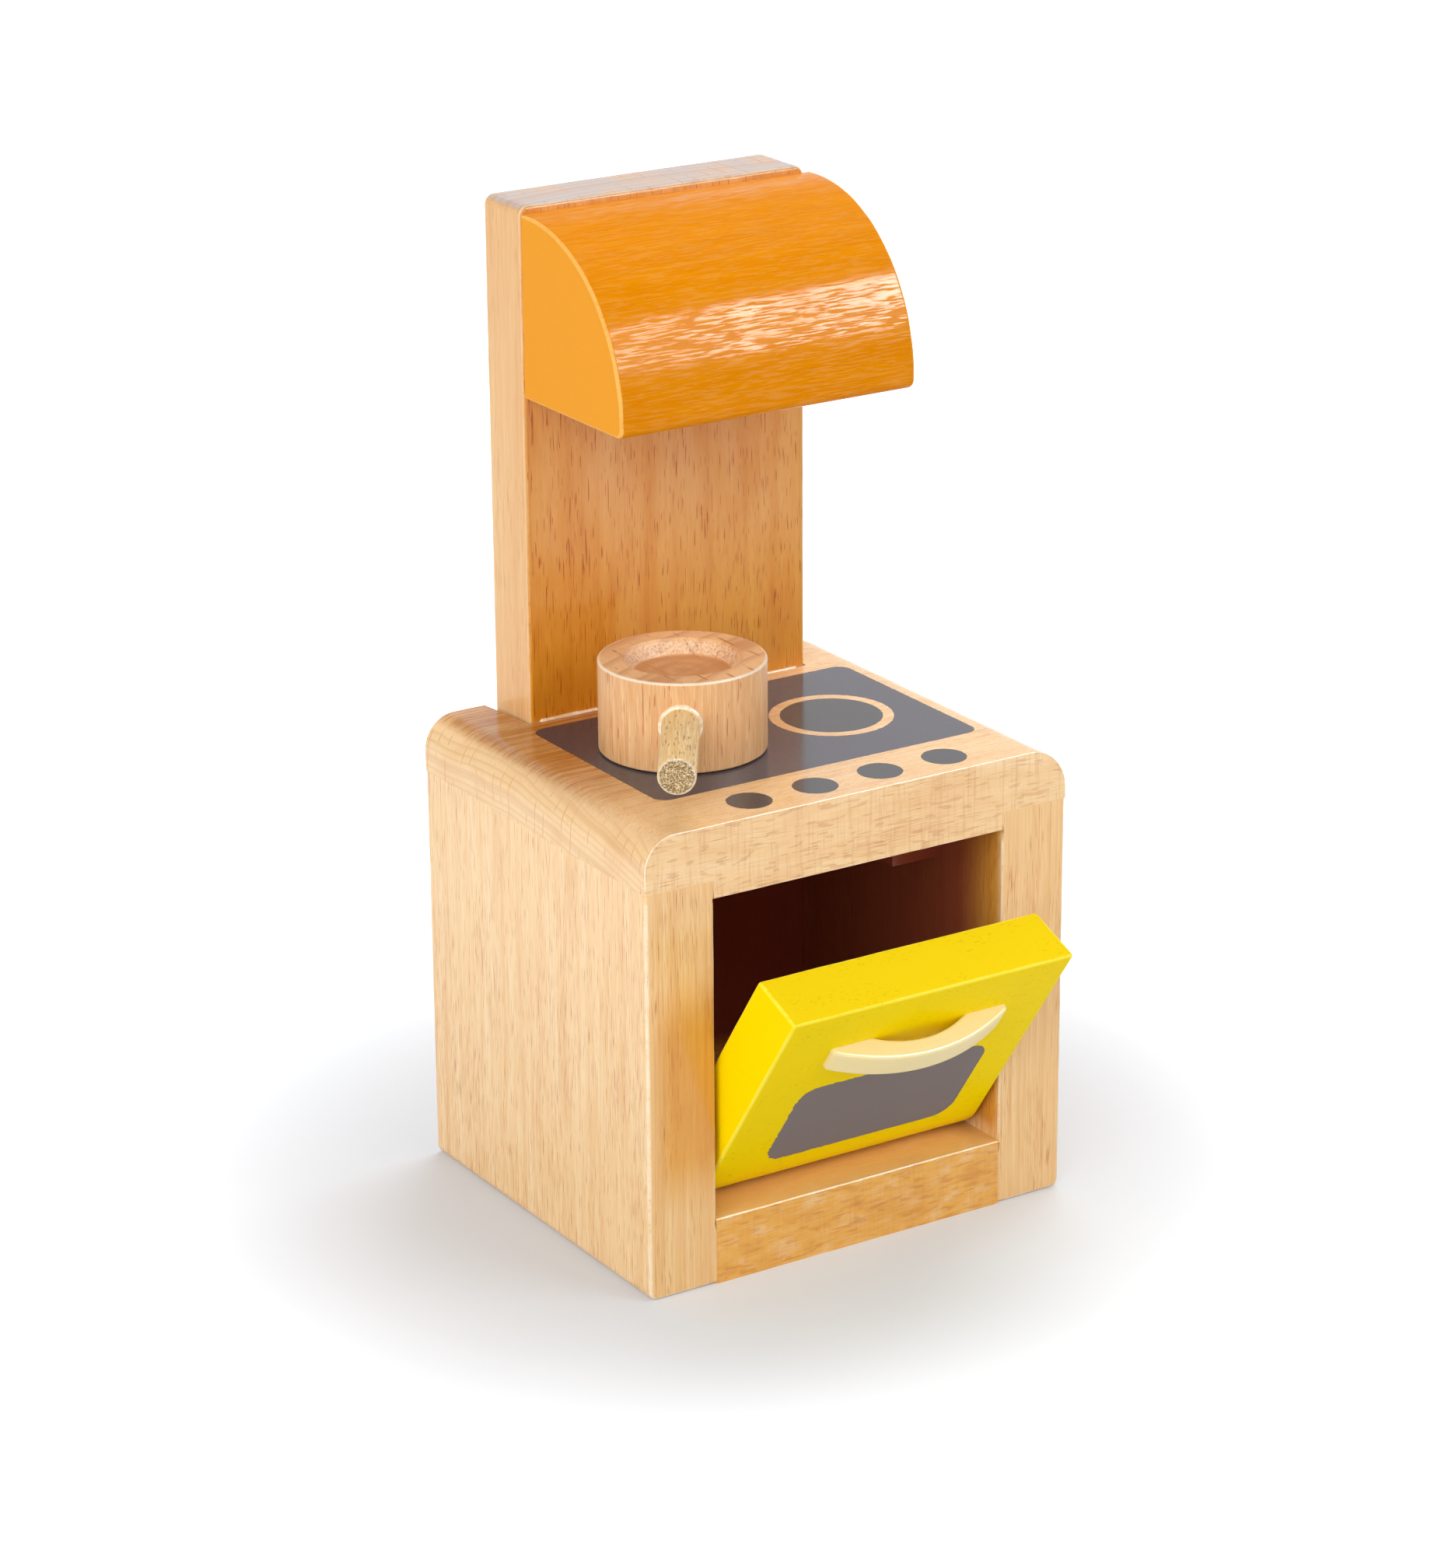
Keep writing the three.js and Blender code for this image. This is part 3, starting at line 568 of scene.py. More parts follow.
def make_print_group():
    """A printed rounded rectangle or, with a radius of half its size, a disc. Millimetres."""
    tree, source, target = new_group("Printed Shape", "ShaderNodeTree", {
        "Position": (0, 0, 0), "Centre": (0, 0, 0), "Half Size": (1, 1, 0), "Radius": 1.0,
        "Raggedness": 0.06}, {"Mask": "Float"})
    x, y, _ = source["Position"].vector("SUBTRACT", source["Centre"]).parts()
    half_x, half_y, _ = source["Half Size"].parts()
    beyond_x = abs(x) - half_x + source["Radius"]
    beyond_y = abs(y) - half_y + source["Radius"]
    out_x, out_y = beyond_x.most(0.0), beyond_y.most(0.0)
    outside = (out_x * out_x + out_y * out_y).math("SQRT")
    edge = outside + beyond_x.most(beyond_y).least(0.0) - source["Radius"]
    rag = (source["Position"].cloud((0.9, 0.5, 0.5), 3.0) - 0.5) * source["Raggedness"]
    feed(target["Mask"], (edge + rag * 4.0).rise(-0.05, 0.05).opposite())
    return tree


def make_edge_group():
    """Breaks up the wear along a piece's rounded edges."""
    tree, source, target = new_group("Worn Edge", "ShaderNodeTree", {
        "Position": (0, 0, 0), "Wear": 0.0, "Raggedness": 0.6}, {"Mask": "Float"})
    rag = source["Position"].cloud((0.5, 0.5, 0.5), 3.0, 0.65) - 0.5
    long_rag = source["Position"].cloud((4, 4, 4)) - 0.5
    level = (rag + long_rag) * source["Raggedness"] * 2.0
    feed(target["Mask"], (level + source["Wear"]).rise(0.55, 1.1))
    return tree


def make_lacquer_group():
    """Ripples that the wood's grain leaves in lacquer or paint, from a place in millimetres."""
    tree, source, target = new_group("Lacquer Grain", "ShaderNodeTree", {
        "Position": (0, 0, 0), "Size": (1.6, 0.22, 0.22)}, {"Height": "Float"})
    long_waves = source["Position"].cloud(source["Size"], 4.0, 0.6)
    ripples = source["Position"].cloud((0.5, 0.3, 0.3))
    feed(target["Height"], long_waves * 0.7 + ripples * 0.3)
    return tree


GROUP_MAKERS = {"Beech": make_beech_group, "Printed Shape": make_print_group,
                "Worn Edge": make_edge_group, "Lacquer Grain": make_lacquer_group}

WOODS = {
    "beech": ("beech", "beech_pale", "beech_shade", "beech_fleck", "end_grain", "end_line"),
    "plank": ("beech", "beech_pale", "beech_shade", "beech_fleck", "plank_end", "end_line"),
    "rail": ("rail", "beech", "rail_shade", "beech_fleck", "end_grain", "end_line"),
    "pan": ("pan", "pan_pale", "pan_shade", "pan_line", "pan_end", "pan_line"),
    "dowel": ("dowel", "dowel_pale", "dowel_shade", "dowel_pore", "dowel_end", "dowel_pore"),
}


class Look:
    """A material in the making: its place in millimetres, its colour so far and its relief."""

    def __init__(self, name, place=(0, 0, 0), turn=(0, 0, 0)):
        self.material = bpy.data.materials.new(name)
        self.material.use_nodes = True
        self.tree = self.material.node_tree
        self.shader = self.tree.nodes["Principled BSDF"].inputs
        self.position = self.place_in_mm(place, turn)
        self.color = None
        self.height = None

    def place_in_mm(self, place=(0, 0, 0), turn=(0, 0, 0)):
        """The object's coordinates in millimetres, from a place and turn of its own."""
        source = Wire(add(self.tree, "ShaderNodeTexCoord").outputs["Object"])
        mapping = add(self.tree, "ShaderNodeMapping", {
            "Vector": source, "Location": tuple(place), "Rotation": tuple(turn), "Scale": (MM, MM, MM)},
            vector_type="TEXTURE")
        return Wire(mapping.outputs[0])

    def normal(self):
        return Wire(add(self.tree, "ShaderNodeTexCoord").outputs["Normal"])

    def layer(self, amount, name, blend="MIX"):
        """Lays one of the user's colours over the colour so far."""
        self.color = mixed(amount, self.color, shade(name), blend)

    def wood(self, order, seed, wood="beech", **changes):
        """Takes its colour and relief from the Beech group. A change's name has _ for a space."""
        values = {"Position": self.position.reordered(order), "Normal": self.normal().reordered(order),
                  "Seed": seed}
        titles = "Base", "Pale", "Shade", "Fleck", "End Base", "End Line"
        values.update(zip(titles, map(shade, WOODS[wood])))
        values.update({name.replace("_", " "): value for name, value in changes.items()})
        made = use_group(self.tree, "Beech", values)
        self.color, self.height = made["Color"], made["Height"]

    def worn(self, raggedness=0.6):
        """Where the edges that were rounded are worn."""
        wear = Wire(add(self.tree, "ShaderNodeAttribute", attribute_name="wear").outputs["Fac"])
        inputs = {"Position": self.position, "Wear": wear, "Raggedness": raggedness}
        return use_group(self.tree, "Worn Edge", inputs)["Mask"]

    def finished(self, roughness=0.2, depth=GRAIN_DEPTH, level=0.4, **others):
        """The material. The relief's depth is in millimetres, and other inputs have _ for a space."""
        bump = add(self.tree, "ShaderNodeBump", {"Height": self.height, "Distance": depth * MM})
        inputs = {"Base Color": self.color, "Normal": Wire(bump.outputs[0]), "Roughness": roughness,
                  "Specular IOR Level": level}
        inputs.update({name.replace("_", " "): value for name, value in others.items()})
        for name, value in inputs.items():
            feed(self.shader[name], value)
        return self.material


def board_look(name, node, order, seed, edge_amount=0.35, **changes):
    """Starts the look of a lacquered board."""
    low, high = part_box(node)
    look = Look(name, (low + high) / 2)
    look.wood(order, seed, **changes)
    edge = look.worn()
    # Pale worn lacquer along the rounded edges, which is partly a painted highlight.
    look.layer(edge * edge_amount, "pale_wear_and_highlight")
    grain = use_group(look.tree, "Lacquer Grain", {"Position": look.position.reordered(order)})
    chips = look.position.cloud((0.22, 0.22, 0.22)) * edge * 5.0
    look.height = look.height * 0.7 + grain["Height"] + chips
    return look


def oven_shade(look):
    """Paints shade on the wood inside the oven: a yellow-brown tint just past the opening's edge, then a
    dark colour that deepens away from the opening.
    """
    panel_low = box_in_mm("side_panel_right")[0]
    floor, roof = box_in_mm("bottom_board")[1].z, box_in_mm("worktop")[0].z
    x, y, z = look.place_in_mm().parts()
    within = (abs(x) - panel_low.x).rise(-0.05, 0.3).opposite()
    within = within * (y - box_in_mm("back_board")[0].y).rise(0.6, 1.0).opposite()
    within = within * (z - floor).rise(0.1, 3.0) * (z - roof).rise(-0.3, 0.05).opposite()
    # Painted shade inside the oven: a yellow-brown tint just past the opening's edge, then a dark colour
    # that deepens away from the opening.
    look.layer(within * (y - panel_low.y).rise(0.0, 1.5) * 0.9, "golden_painted_light", "MULTIPLY")
    look.layer(within * (y - panel_low.y).rise(0.0, 11.0) * 0.94, "inside")


def board_material(name, node, order, seed, level=0.4, tone=None, **changes):
    """Lacquered beech for one plain board. The tone paints light or shade onto part of it, and the wood
    inside the oven takes painted shade.
    """
    look = board_look(name, node, order, seed, **changes)
    if tone:
        tone(look)
    oven_shade(look)
    return look.finished(level=level)


# Pieces

class KITCHEN_OT_worktop(bpy.types.Operator):
    """Worktop with rounded ends, rebates, a notch for the back board and the printed hob"""
    bl_idname = "kitchen.worktop"
    bl_label = "Worktop"

    def execute(self, context):
        sizes = context.scene.kitchen_sizes
        low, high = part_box("worktop")
        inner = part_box("side_panel_right")[0].x
        plank_warm_bounce, plank_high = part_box("back_board")
        shoulder = low.z + sizes.rebate
        mesh = bar([
            (-inner, low.z, 0), (inner, low.z, 0), (inner, shoulder, 0), (high.x, shoulder, 0),
            (high.x, high.z, sizes.worktop_right), (low.x, high.z, sizes.worktop_left),
            (low.x, shoulder, 0), (-inner, shoulder, 0)], "Y", low.y, high.y, steps=16)
        half_widths = plank_high.x + sizes.notch_front, plank_high.x + sizes.notch_rear
        cut_notch(mesh, *half_widths, plank_warm_bounce.y, high.y)

        def outer_rim(middle):
            glued = middle.z < shoulder + TOUCHING and abs(middle.x) > inner - TOUCHING
            return near(middle.y, low.y, high.y) and not glued

        round_edges(mesh, sizes.sanded_edge, outer_rim)
        hand_sanded(mesh, seed=1)
        add_piece(mesh, "worktop_board", worktop_material(sizes), "cabinet", "worktop")
        return {"FINISHED"}


def cut_notch(mesh, front_half, rear_half, front, back, snap=1e-7):
    """Takes the notch for the back board out of the worktop's rear edge. Its sides spread to the rear."""
    spread = (rear_half - front_half) / (back - front)
    planes = [((side * front_half, front, 0), (1, -side * spread, 0)) for side in (-1, 1)]
    planes.append(((0, front, 0), (0, 1, 0)))
    for place, normal in planes:
        geometry = mesh.verts[:] + mesh.edges[:] + mesh.faces[:]
        bmesh.ops.bisect_plane(mesh, geom=geometry, dist=snap, plane_co=place, plane_no=normal)
    inside = []
    for face in mesh.faces:
        middle = face.calc_center_median()
        if middle.y > front and abs(middle.x) < front_half + (middle.y - front) * spread:
            inside.append(face)
    bmesh.ops.delete(mesh, geom=inside, context="FACES")
    open_edges = [edge for edge in mesh.edges if edge.is_boundary]
    bmesh.ops.edgeloop_fill(mesh, edges=open_edges)
    bmesh.ops.recalc_face_normals(mesh, faces=mesh.faces)


def printed(position, centre, half_size, radius, ragged=0.06):
    """Mask of a printed shape. Sizes are in metres and the position is in millimetres."""
    return use_group(position.tree, "Printed Shape", {
        "Position": position, "Centre": [part / MM for part in centre],
        "Half Size": [part / MM for part in half_size], "Radius": radius / MM, "Raggedness": ragged})["Mask"]


def worktop_material(sizes):
    """Beech with the hob, its rings and its four controls printed on its top."""
    # The pale edges are strong here, partly as a painted highlight along the front arris.
    look = board_look(
        "worktop beech", "worktop", "XYZ", 3.0, edge_amount=0.85, Fleck_Size=(2.4, 0.16, 0.5),
        Fleck_Level=0.62, Fleck_Amount=0.3, Line_Amount=0.55, Cross_Amount=0.2, End_Amount=0.6,
        Streak_Size=(18, 0.9, 3.0), Streak_Amount=0.5, Fibre_Amount=0.35, Ring_Width=0.95,
        Ray_Spacing=2.2, Pith=(0, 12, -170))
    x, y, _ = look.place_in_mm().parts()
    on_top = look.normal().parts()[2].rise(0.75, 0.98)
    # Painted shade and orange reflection on the top, towards the left and the rear near the back board, in
    # grain lines.
    worktop_shaded_part = x.rise(-14.0, 12.0).opposite() * y.rise(-24.0, 4.0)
    grain_lines = look.position.cloud((14, 0.5, 2), 3.0).rise(0.3, 0.7)
    look.layer(worktop_shaded_part * on_top * (grain_lines * 0.5 + 0.45) * 1.2, "worktop_painted_shade", "MULTIPLY")
    oven_shade(look)

    low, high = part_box("worktop")
    middle = (low + high) / 2
    hob, rings, dots = [
        Vector((shift, low.y + setback, 0)) - middle for shift, setback in (
            (sizes.hob_shift, sizes.hob_front + sizes.hob_depth / 2),
            (sizes.ring_shift, sizes.ring_setback), (sizes.ring_shift, sizes.dot_setback))]

    def disc(centre, shift, radius):
        return printed(look.position, centre + Vector((shift, 0, 0)), (radius, radius, 0), radius)

    plate = printed(look.position, hob, (sizes.hob_width / 2, sizes.hob_depth / 2, 0), sizes.hob_corner)
    discs = None
    for side in (-1, 1):
        outer, inner = [disc(rings, side * sizes.ring_spacing / 2, radius)
                        for radius in (sizes.ring_outer, sizes.ring_inner)]
        plate = plate * (outer - inner).opposite()
        discs = discs.most(inner) if discs else inner
    for step in range(4):
        dot = disc(dots, (step - 1.5) * sizes.dot_spacing, sizes.dot_radius)
        plate, discs = plate.most(dot), discs.most(dot)
    plate = plate * on_top
    specks = look.position.cloud((0.16, 0.16, 0.16)).rise(0.74, 0.8) * 0.5
    ink = layered(shade("print_grey"), (discs, shade("disc_grey")), (specks, shade("pale_wear_and_highlight")))
    look.color = mixed(plate, look.color, ink)
    look.height = look.height * (plate * 0.6).opposite() + plate * 0.4
    return look.finished(plate * -0.03 + 0.16, level=0.5)


class KITCHEN_OT_side_panels(bpy.types.Operator):
    """The two upright side panels"""
    bl_idname = "kitchen.side_panels"
    bl_label = "Side Panels"

    def execute(self, context):
        sizes = context.scene.kitchen_sizes
        floor_top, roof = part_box("bottom_board")[1].z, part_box("worktop")[0].z
        for side, hand in ((-1, "left"), (1, "right")):
            node = f"side_panel_{hand}"
            low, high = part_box(node)
            inner, outer = (low.x, high.x) if side > 0 else (high.x, low.x)
            mesh = bar([
                (inner, 0, 0), (outer, 0, sizes.foot_radius), (outer, high.z, 0), (inner, high.z, 0)],
                "Y", low.y, high.y)

            def outer_rim(middle):
                return near(middle.y, low.y, high.y) and not near(middle.z, high.z) and not near(
                    middle.x, inner)

            def opening_rim(middle):
                return near(middle.y, low.y) and near(middle.x, inner) and floor_top < middle.z < roof

            round_edges(mesh, sizes.sanded_edge, outer_rim)
            round_edges(mesh, sizes.opening_edge, opening_rim)
            hand_sanded(mesh, seed=5 + side)
            material = board_material(
                f"{hand} panel beech", node, "ZYX", 11.0 + side, tone=panel_painted_light, edge_amount=0.5,
                Fleck_Size=(3.6, 0.14, 0.16), Fleck_Level=0.65, Fleck_Amount=0.6, Side_Flecks=0.15,
                Line_Amount=0.7, Streak_Size=(70, 1.6, 0.5), Streak_Amount=0.5,
                Fibre_Size=(14, 0.2, 0.14), Fibre_Amount=0.6)
            add_piece(mesh, f"side_board_{hand}", material, "cabinet", node)
        return {"FINISHED"}


def panel_painted_light(look):
    """Paints light and shade on the panels' fronts: a painted yellow reflection from the door on the left
    panel beside it, and painted shade on every front.
    """
    beside_door = 28.0
    x, _, z = look.place_in_mm().parts()
    from_edge = x - box_in_mm("side_panel_left")[1].x
    beside = from_edge.rise(-10.5, -6.5) * from_edge.rise(1.0, 2.0).opposite()
    beside = beside * abs(z - beside_door).rise(8.0, 18.0).opposite()
    front = look.normal().parts()[1].rise(-0.95, -0.8).opposite()
    # Painted yellow reflection from the door beside the left panel, and painted shade on every panel's
    # front.
    look.layer(front * (beside * 0.6 + 0.2), "golden_painted_light", "MULTIPLY")


class KITCHEN_OT_bottom_board(bpy.types.Operator):
    """The board that floors the oven"""
    bl_idname = "kitchen.bottom_board"
    bl_label = "Bottom Board"

    def execute(self, context):
        sizes = context.scene.kitchen_sizes
        low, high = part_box("bottom_board")
        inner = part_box("side_panel_right")[0].x
        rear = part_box("back_board")[0].y
        mesh = bar([(low.y, 0, 0), (rear, 0, 0), (rear, high.z, 0), (low.y, high.z, 0)], "X", -inner, inner)
        round_edges(mesh, sizes.opening_edge,
                    lambda middle: near(middle.y, low.y) and near(middle.z, high.z))
        hand_sanded(mesh, seed=9)
        material = board_material(
            "bottom board beech", "bottom_board", "XYZ", 21.0, wood="rail", tone=rail_top_painted_light,
            Fleck_Size=(2.4, 0.2, 0.4), Fleck_Level=0.62, Fleck_Amount=0.3, Line_Amount=0.25,
            Streak_Size=(5, 5, 2.4), Streak_Amount=0.6, Cross_Amount=0.12)
        add_piece(mesh, "bottom_plank", material, "cabinet", "bottom_board")
        return {"FINISHED"}


def rail_top_painted_light(look):
    """Paints light on the bottom board's top, which makes it paler than its front."""
    # Painted light: the top is mixed towards plain beech.
    look.layer(look.normal().parts()[2].rise(0.5, 0.9) * 0.6, "beech")


class KITCHEN_OT_back_board(bpy.types.Operator):
    """The plank that rises behind the worktop and carries the hood"""
    bl_idname = "kitchen.back_board"
    bl_label = "Back Board"

    def execute(self, context):
        sizes = context.scene.kitchen_sizes
        low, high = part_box("back_board")
        mesh = bar([(x, z, sizes.plank_corner) for x, z in (
            (low.x, low.z), (high.x, low.z), (high.x, high.z), (low.x, high.z))], "Y", low.y, high.y)
        round_edges(mesh, sizes.sanded_edge, lambda middle: near(middle.y, low.y, high.y))
        hand_sanded(mesh, seed=13)
        material = board_material(
            "back board beech", "back_board", "ZXY", 31.0, level=0.2, tone=plank_painted_light, wood="plank",
            Fleck_Size=(3.4, 0.2, 0.5), Fleck_Level=0.655, Fleck_Amount=0.8, Side_Flecks=0.0,
            Line_Amount=0.4, Streak_Size=(50, 2.0, 2.0), Streak_Amount=0.5)
        add_piece(mesh, "back_plank", material, "cabinet", "back_board")
        return {"FINISHED"}


def plank_painted_light(look):
    """Paints shade on the back board's sides and front, uneven in broad streaks, and painted warm reflected
    light on its front just above the worktop and towards its sides.
    """
    place = look.place_in_mm()
    x, _, z = place.parts()
    above = z - box_in_mm("worktop")[1].z
    sideways, forward, _ = look.normal().parts()
    front = forward.rise(-0.8, -0.5).opposite()
    # Painted shade on the back board's sides.
    look.layer(abs(sideways).rise(0.6, 0.9) * 0.45, "plank_painted_shade", "MULTIPLY")
    broad = place.cloud((5, 5, 26), 1.0).rise(0.35, 0.65)
    # Painted shade on its front, uneven in broad streaks.
    look.layer(front * (broad * 0.3 + 0.8), "plank_painted_shade", "MULTIPLY")
    low = above.rise(2.0, 34.0).opposite() * above.rise(-0.5, 0.5)
    edge = abs(x).rise(12.0, 22.0) * 0.4
    # Painted warm reflected light on its front, just above the worktop and towards its sides.
    look.layer(front * low.most(edge), "plank_warm_bounce", "MULTIPLY")


class KITCHEN_OT_door_stop(bpy.types.Operator):
    """The small block under the worktop that stops the door"""
    bl_idname = "kitchen.door_stop"
    bl_label = "Door Stop"

    def execute(self, context):
        sizes = context.scene.kitchen_sizes
        low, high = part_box("door_stop")
        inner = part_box("side_panel_right")[0].x
        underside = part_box("worktop")[0].z
        mesh = bar([(low.x, low.y, 0), (inner, low.y, 0), (inner, high.y, 0), (low.x, high.y, 0)],
                   "Z", low.z, underside, spacing=1 * MM)
        round_edges(mesh, sizes.opening_edge / 2, lambda middle: middle.z < underside)
        material = board_material("door stop beech", "door_stop", "XYZ", 41.0, wood="rail")
        add_piece(mesh, "stop_block", material, "cabinet", "door_stop")
        return {"FINISHED"}


def made_by_nodes(tree, name, inputs, start=None):
    """Runs a Geometry Nodes tree on a mesh with its named inputs and returns the result to edit."""
    holder = bpy.data.objects.new(name, start or bpy.data.meshes.new(name))
    bpy.context.scene.collection.objects.link(holder)
    modifier = holder.modifiers.new(name, "NODES")
    modifier.node_group = tree
    for item in tree.interface.items_tree:
        if item.in_out == "INPUT" and item.name in inputs:
            modifier[item.identifier] = inputs[item.name]
    graph = bpy.context.evaluated_depsgraph_get()
    result = bpy.data.meshes.new_from_object(holder.evaluated_get(graph))
    holder.modifiers.remove(modifier)
    bpy.data.objects.remove(holder)
    mesh = bmesh.new()
    mesh.from_mesh(result)
    bmesh.ops.remove_doubles(mesh, verts=mesh.verts, dist=MERGED)
    bmesh.ops.recalc_face_normals(mesh, faces=mesh.faces)
    return mesh


def end_tree(tree, geometry, source, target):
    """Makes the geometry real, gives it the material and leads it to the tree's output."""
    real = add(tree, "GeometryNodeRealizeInstances", {0: geometry})
    painted = add(tree, "GeometryNodeSetMaterial", {
        "Geometry": Wire(real.outputs[0]), "Material": source["Material"]})
    feed(target["Geometry"], Wire(painted.outputs[0]))
    return tree


def swept(tree, line, profile, **inputs):
    """A bar with capped ends, from a profile swept along a line."""
    made = add(tree, "GeometryNodeCurveToMesh", {
        "Curve": Wire(line.outputs[0]), "Profile Curve": Wire(profile.outputs[0]), "Fill Caps": True,
        **inputs})
    return Wire(made.outputs[0])


def fillet_tree():
    """Geometry Nodes for the hood: a square bar with its top front corner turned to a quarter round."""
    tree, source, target = new_group("Quarter Round", "GeometryNodeTree", {
        "Geometry": "Geometry", "Radius": 0.0, "Lip Radius": 0.0, "Width": 0.0, "Arc Steps": 1, "Rings": 2,
        "Place": (0, 0, 0), "Material": "Material"}, {"Geometry": "Geometry"})
    square = add(tree, "GeometryNodeCurvePrimitiveQuadrilateral", {
        "Width": source["Radius"], "Height": source["Radius"]})
    index = Wire(add(tree, "GeometryNodeInputIndex").outputs[0])
    radius = compared(index, 3, source["Radius"], compared(index, 0, source["Lip Radius"], 0.0))
    fillet = add(tree, "GeometryNodeFilletCurve", {
        "Curve": Wire(square.outputs[0]), "Radius": radius, "Limit Radius": True,
        "Count": source["Arc Steps"]}, mode="POLY")
    line = add(tree, "GeometryNodeCurvePrimitiveLine", {
        "Start": (0, 0, 0), "End": joined(tree, source["Width"], 0.0, 0.0)})
    path = add(tree, "GeometryNodeResampleCurve", {"Curve": Wire(line.outputs[0]), "Count": source["Rings"]})
    moved = add(tree, "GeometryNodeTransform", {
        "Geometry": swept(tree, path, fillet), "Translation": source["Place"]})
    return end_tree(tree, Wire(moved.outputs[0]), source, target)


def compared(value, target, match, otherwise):
    """One number where the value is the target, and another elsewhere."""
    same = add(value.tree, "FunctionNodeCompare", {2: value, 3: target}, data_type="INT", operation="EQUAL")
    choice = add(value.tree, "GeometryNodeSwitch", {
        "Switch": Wire(same.outputs[0]), "False": otherwise, "True": match}, input_type="FLOAT")
    return Wire(choice.outputs[0])


def round_bar_tree():
    """Geometry Nodes that run a round bar along each line of edges."""
    tree, source, target = new_group("Round Bar", "GeometryNodeTree", {
        "Geometry": "Geometry", "Radius": 0.0, "Unevenness": 0.0, "Waves": 0.0, "Seed": 0.0,
        "End Taper": 0.0, "Count": 2, "Sides": 3, "Material": "Material"}, {"Geometry": "Geometry"})
    path = add(tree, "GeometryNodeMeshToCurve", {"Mesh": source["Geometry"]})
    path = add(tree, "GeometryNodeResampleCurve", {"Curve": Wire(path.outputs[0]), "Count": source["Count"]})
    unrest = add(tree, "ShaderNodeTexNoise", {
        "Vector": Wire(add(tree, "GeometryNodeInputPosition").outputs[0]), "W": source["Seed"],
        "Scale": source["Waves"]}, noise_dimensions="4D")
    swelling = (Wire(unrest.outputs[0]) * 2.0 - 1.0) * source["Unevenness"] + 1.0
    along = Wire(add(tree, "GeometryNodeSplineParameter").outputs["Factor"])
    at_end = abs(along - 0.5).math("GREATER_THAN", 0.4999)
    width = swelling * (at_end * source["End Taper"]).opposite() * source["Radius"]
    ring = add(tree, "GeometryNodeCurvePrimitiveCircle", {"Resolution": source["Sides"], "Radius": 1.0})
    return end_tree(tree, swept(tree, path, ring, Scale=width), source, target)


def round_bars(name, lines, material, **inputs):
    """Round bars along lines of points, to edit. A line whose ends meet is given closed."""
    points, edges = [], []
    for line, closed in lines:
        first = len(points)
        points.extend(line)
        edges.extend((first + step, first + step + 1) for step in range(len(line) - 1))
        if closed:
            edges.append((first + len(line) - 1, first))
    start = bpy.data.meshes.new(name)
    start.from_pydata(points, edges, [])
    tree = bpy.data.node_groups.get("Round Bar") or round_bar_tree()
    named = {title.replace("_", " "): value for title, value in inputs.items()}
    return made_by_nodes(tree, name, {"Material": material, **named}, start)


class KITCHEN_OT_hood(bpy.types.Operator):
    """The solid quarter-round cooker hood"""
    bl_idname = "kitchen.hood"
    bl_label = "Cooker Hood"

    def execute(self, context):
        sizes = context.scene.kitchen_sizes
        low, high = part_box("range_hood")
        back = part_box("back_board")[0].y
        radius = high.z - low.z
        material = hood_material(Vector(((low.x + high.x) / 2, back, low.z)))
        mesh = made_by_nodes(fillet_tree(), "hood shape", {
            "Radius": radius, "Lip Radius": sizes.hood_lip, "Width": high.x - low.x,
            "Arc Steps": 48, "Rings": 32, "Material": material,
            "Place": (low.x, back - radius / 2, (low.z + high.z) / 2)})
        round_edges(mesh, sizes.hood_edge, lambda middle: near(middle.x, low.x, high.x))
        hand_sanded(mesh, seed=17)
        add_piece(mesh, "hood_block", material, "cabinet", "range_hood")
        return {"FINISHED"}


def hood_material(place):
    """Orange gloss paint that shows the grain below it and is thin along the end edges, with a painted sheen
    in streaks, lighter paint on the ends that is partly painted light, and a coat that is glossiest where
    the shine lamp's highlight falls.
    """
    look = Look("orange paint", place)
    position = look.position
    on_end = abs(look.normal().parts()[0]).rise(0.6, 0.95)
    look.color = shade("orange")
    look.layer(position.cloud((12, 1.2, 1.2), 3.0).rise(0.35, 0.75) * 0.45, "orange_thin")
    look.layer(position.cloud((1.4, 0.14, 0.14)).rise(0.6, 0.74) * 0.4, "orange_deep")
    grain = position.cloud((3.6, 0.26, 0.26), 2.0, 0.6)
    # A painted sheen: paler streaks on the same noise as the coat's gloss.
    look.layer(grain.rise(0.46, 0.6) * 0.12, "orange_edge_and_sheen")
    # Lighter, paler paint on the end faces: the end grain's paint, partly painted light.
    look.layer(on_end * 0.9, "orange_end")
    look.layer(look.worn(0.3) * 0.75, "orange_edge_and_sheen")
    look.height = position.cloud((3.0, 0.24, 0.24), 2.0, 0.6) * (on_end * 0.8).opposite()
    patches = position.cloud((9, 2.5, 2.5)).rise(0.3, 0.65)
    x, _, z = position.parts()
    # The coat is glossier to the right and higher on the front, most along a ridge, which shapes where the
    # shine lamp's highlight shows.
    gloss = (grain + z.rise(9.5, 14.0) * x.rise(-22.0, 14.0) * 0.1).rise(0.49, 0.62)
    lower, rightward = z.rise(2.0, 12.0) * 0.7 + 0.3, x.rise(-24.0, 2.0) * 0.5 + 0.5
    shine = gloss * (patches * 0.5 + 0.5) * lower * rightward * 0.58 + 0.02
    return look.finished(
        on_end * 0.2 + 0.2, depth=0.008, level=0.015, Coat_Weight=shine * on_end.opposite(),
        Coat_Roughness=0.13, Coat_IOR=1.5)


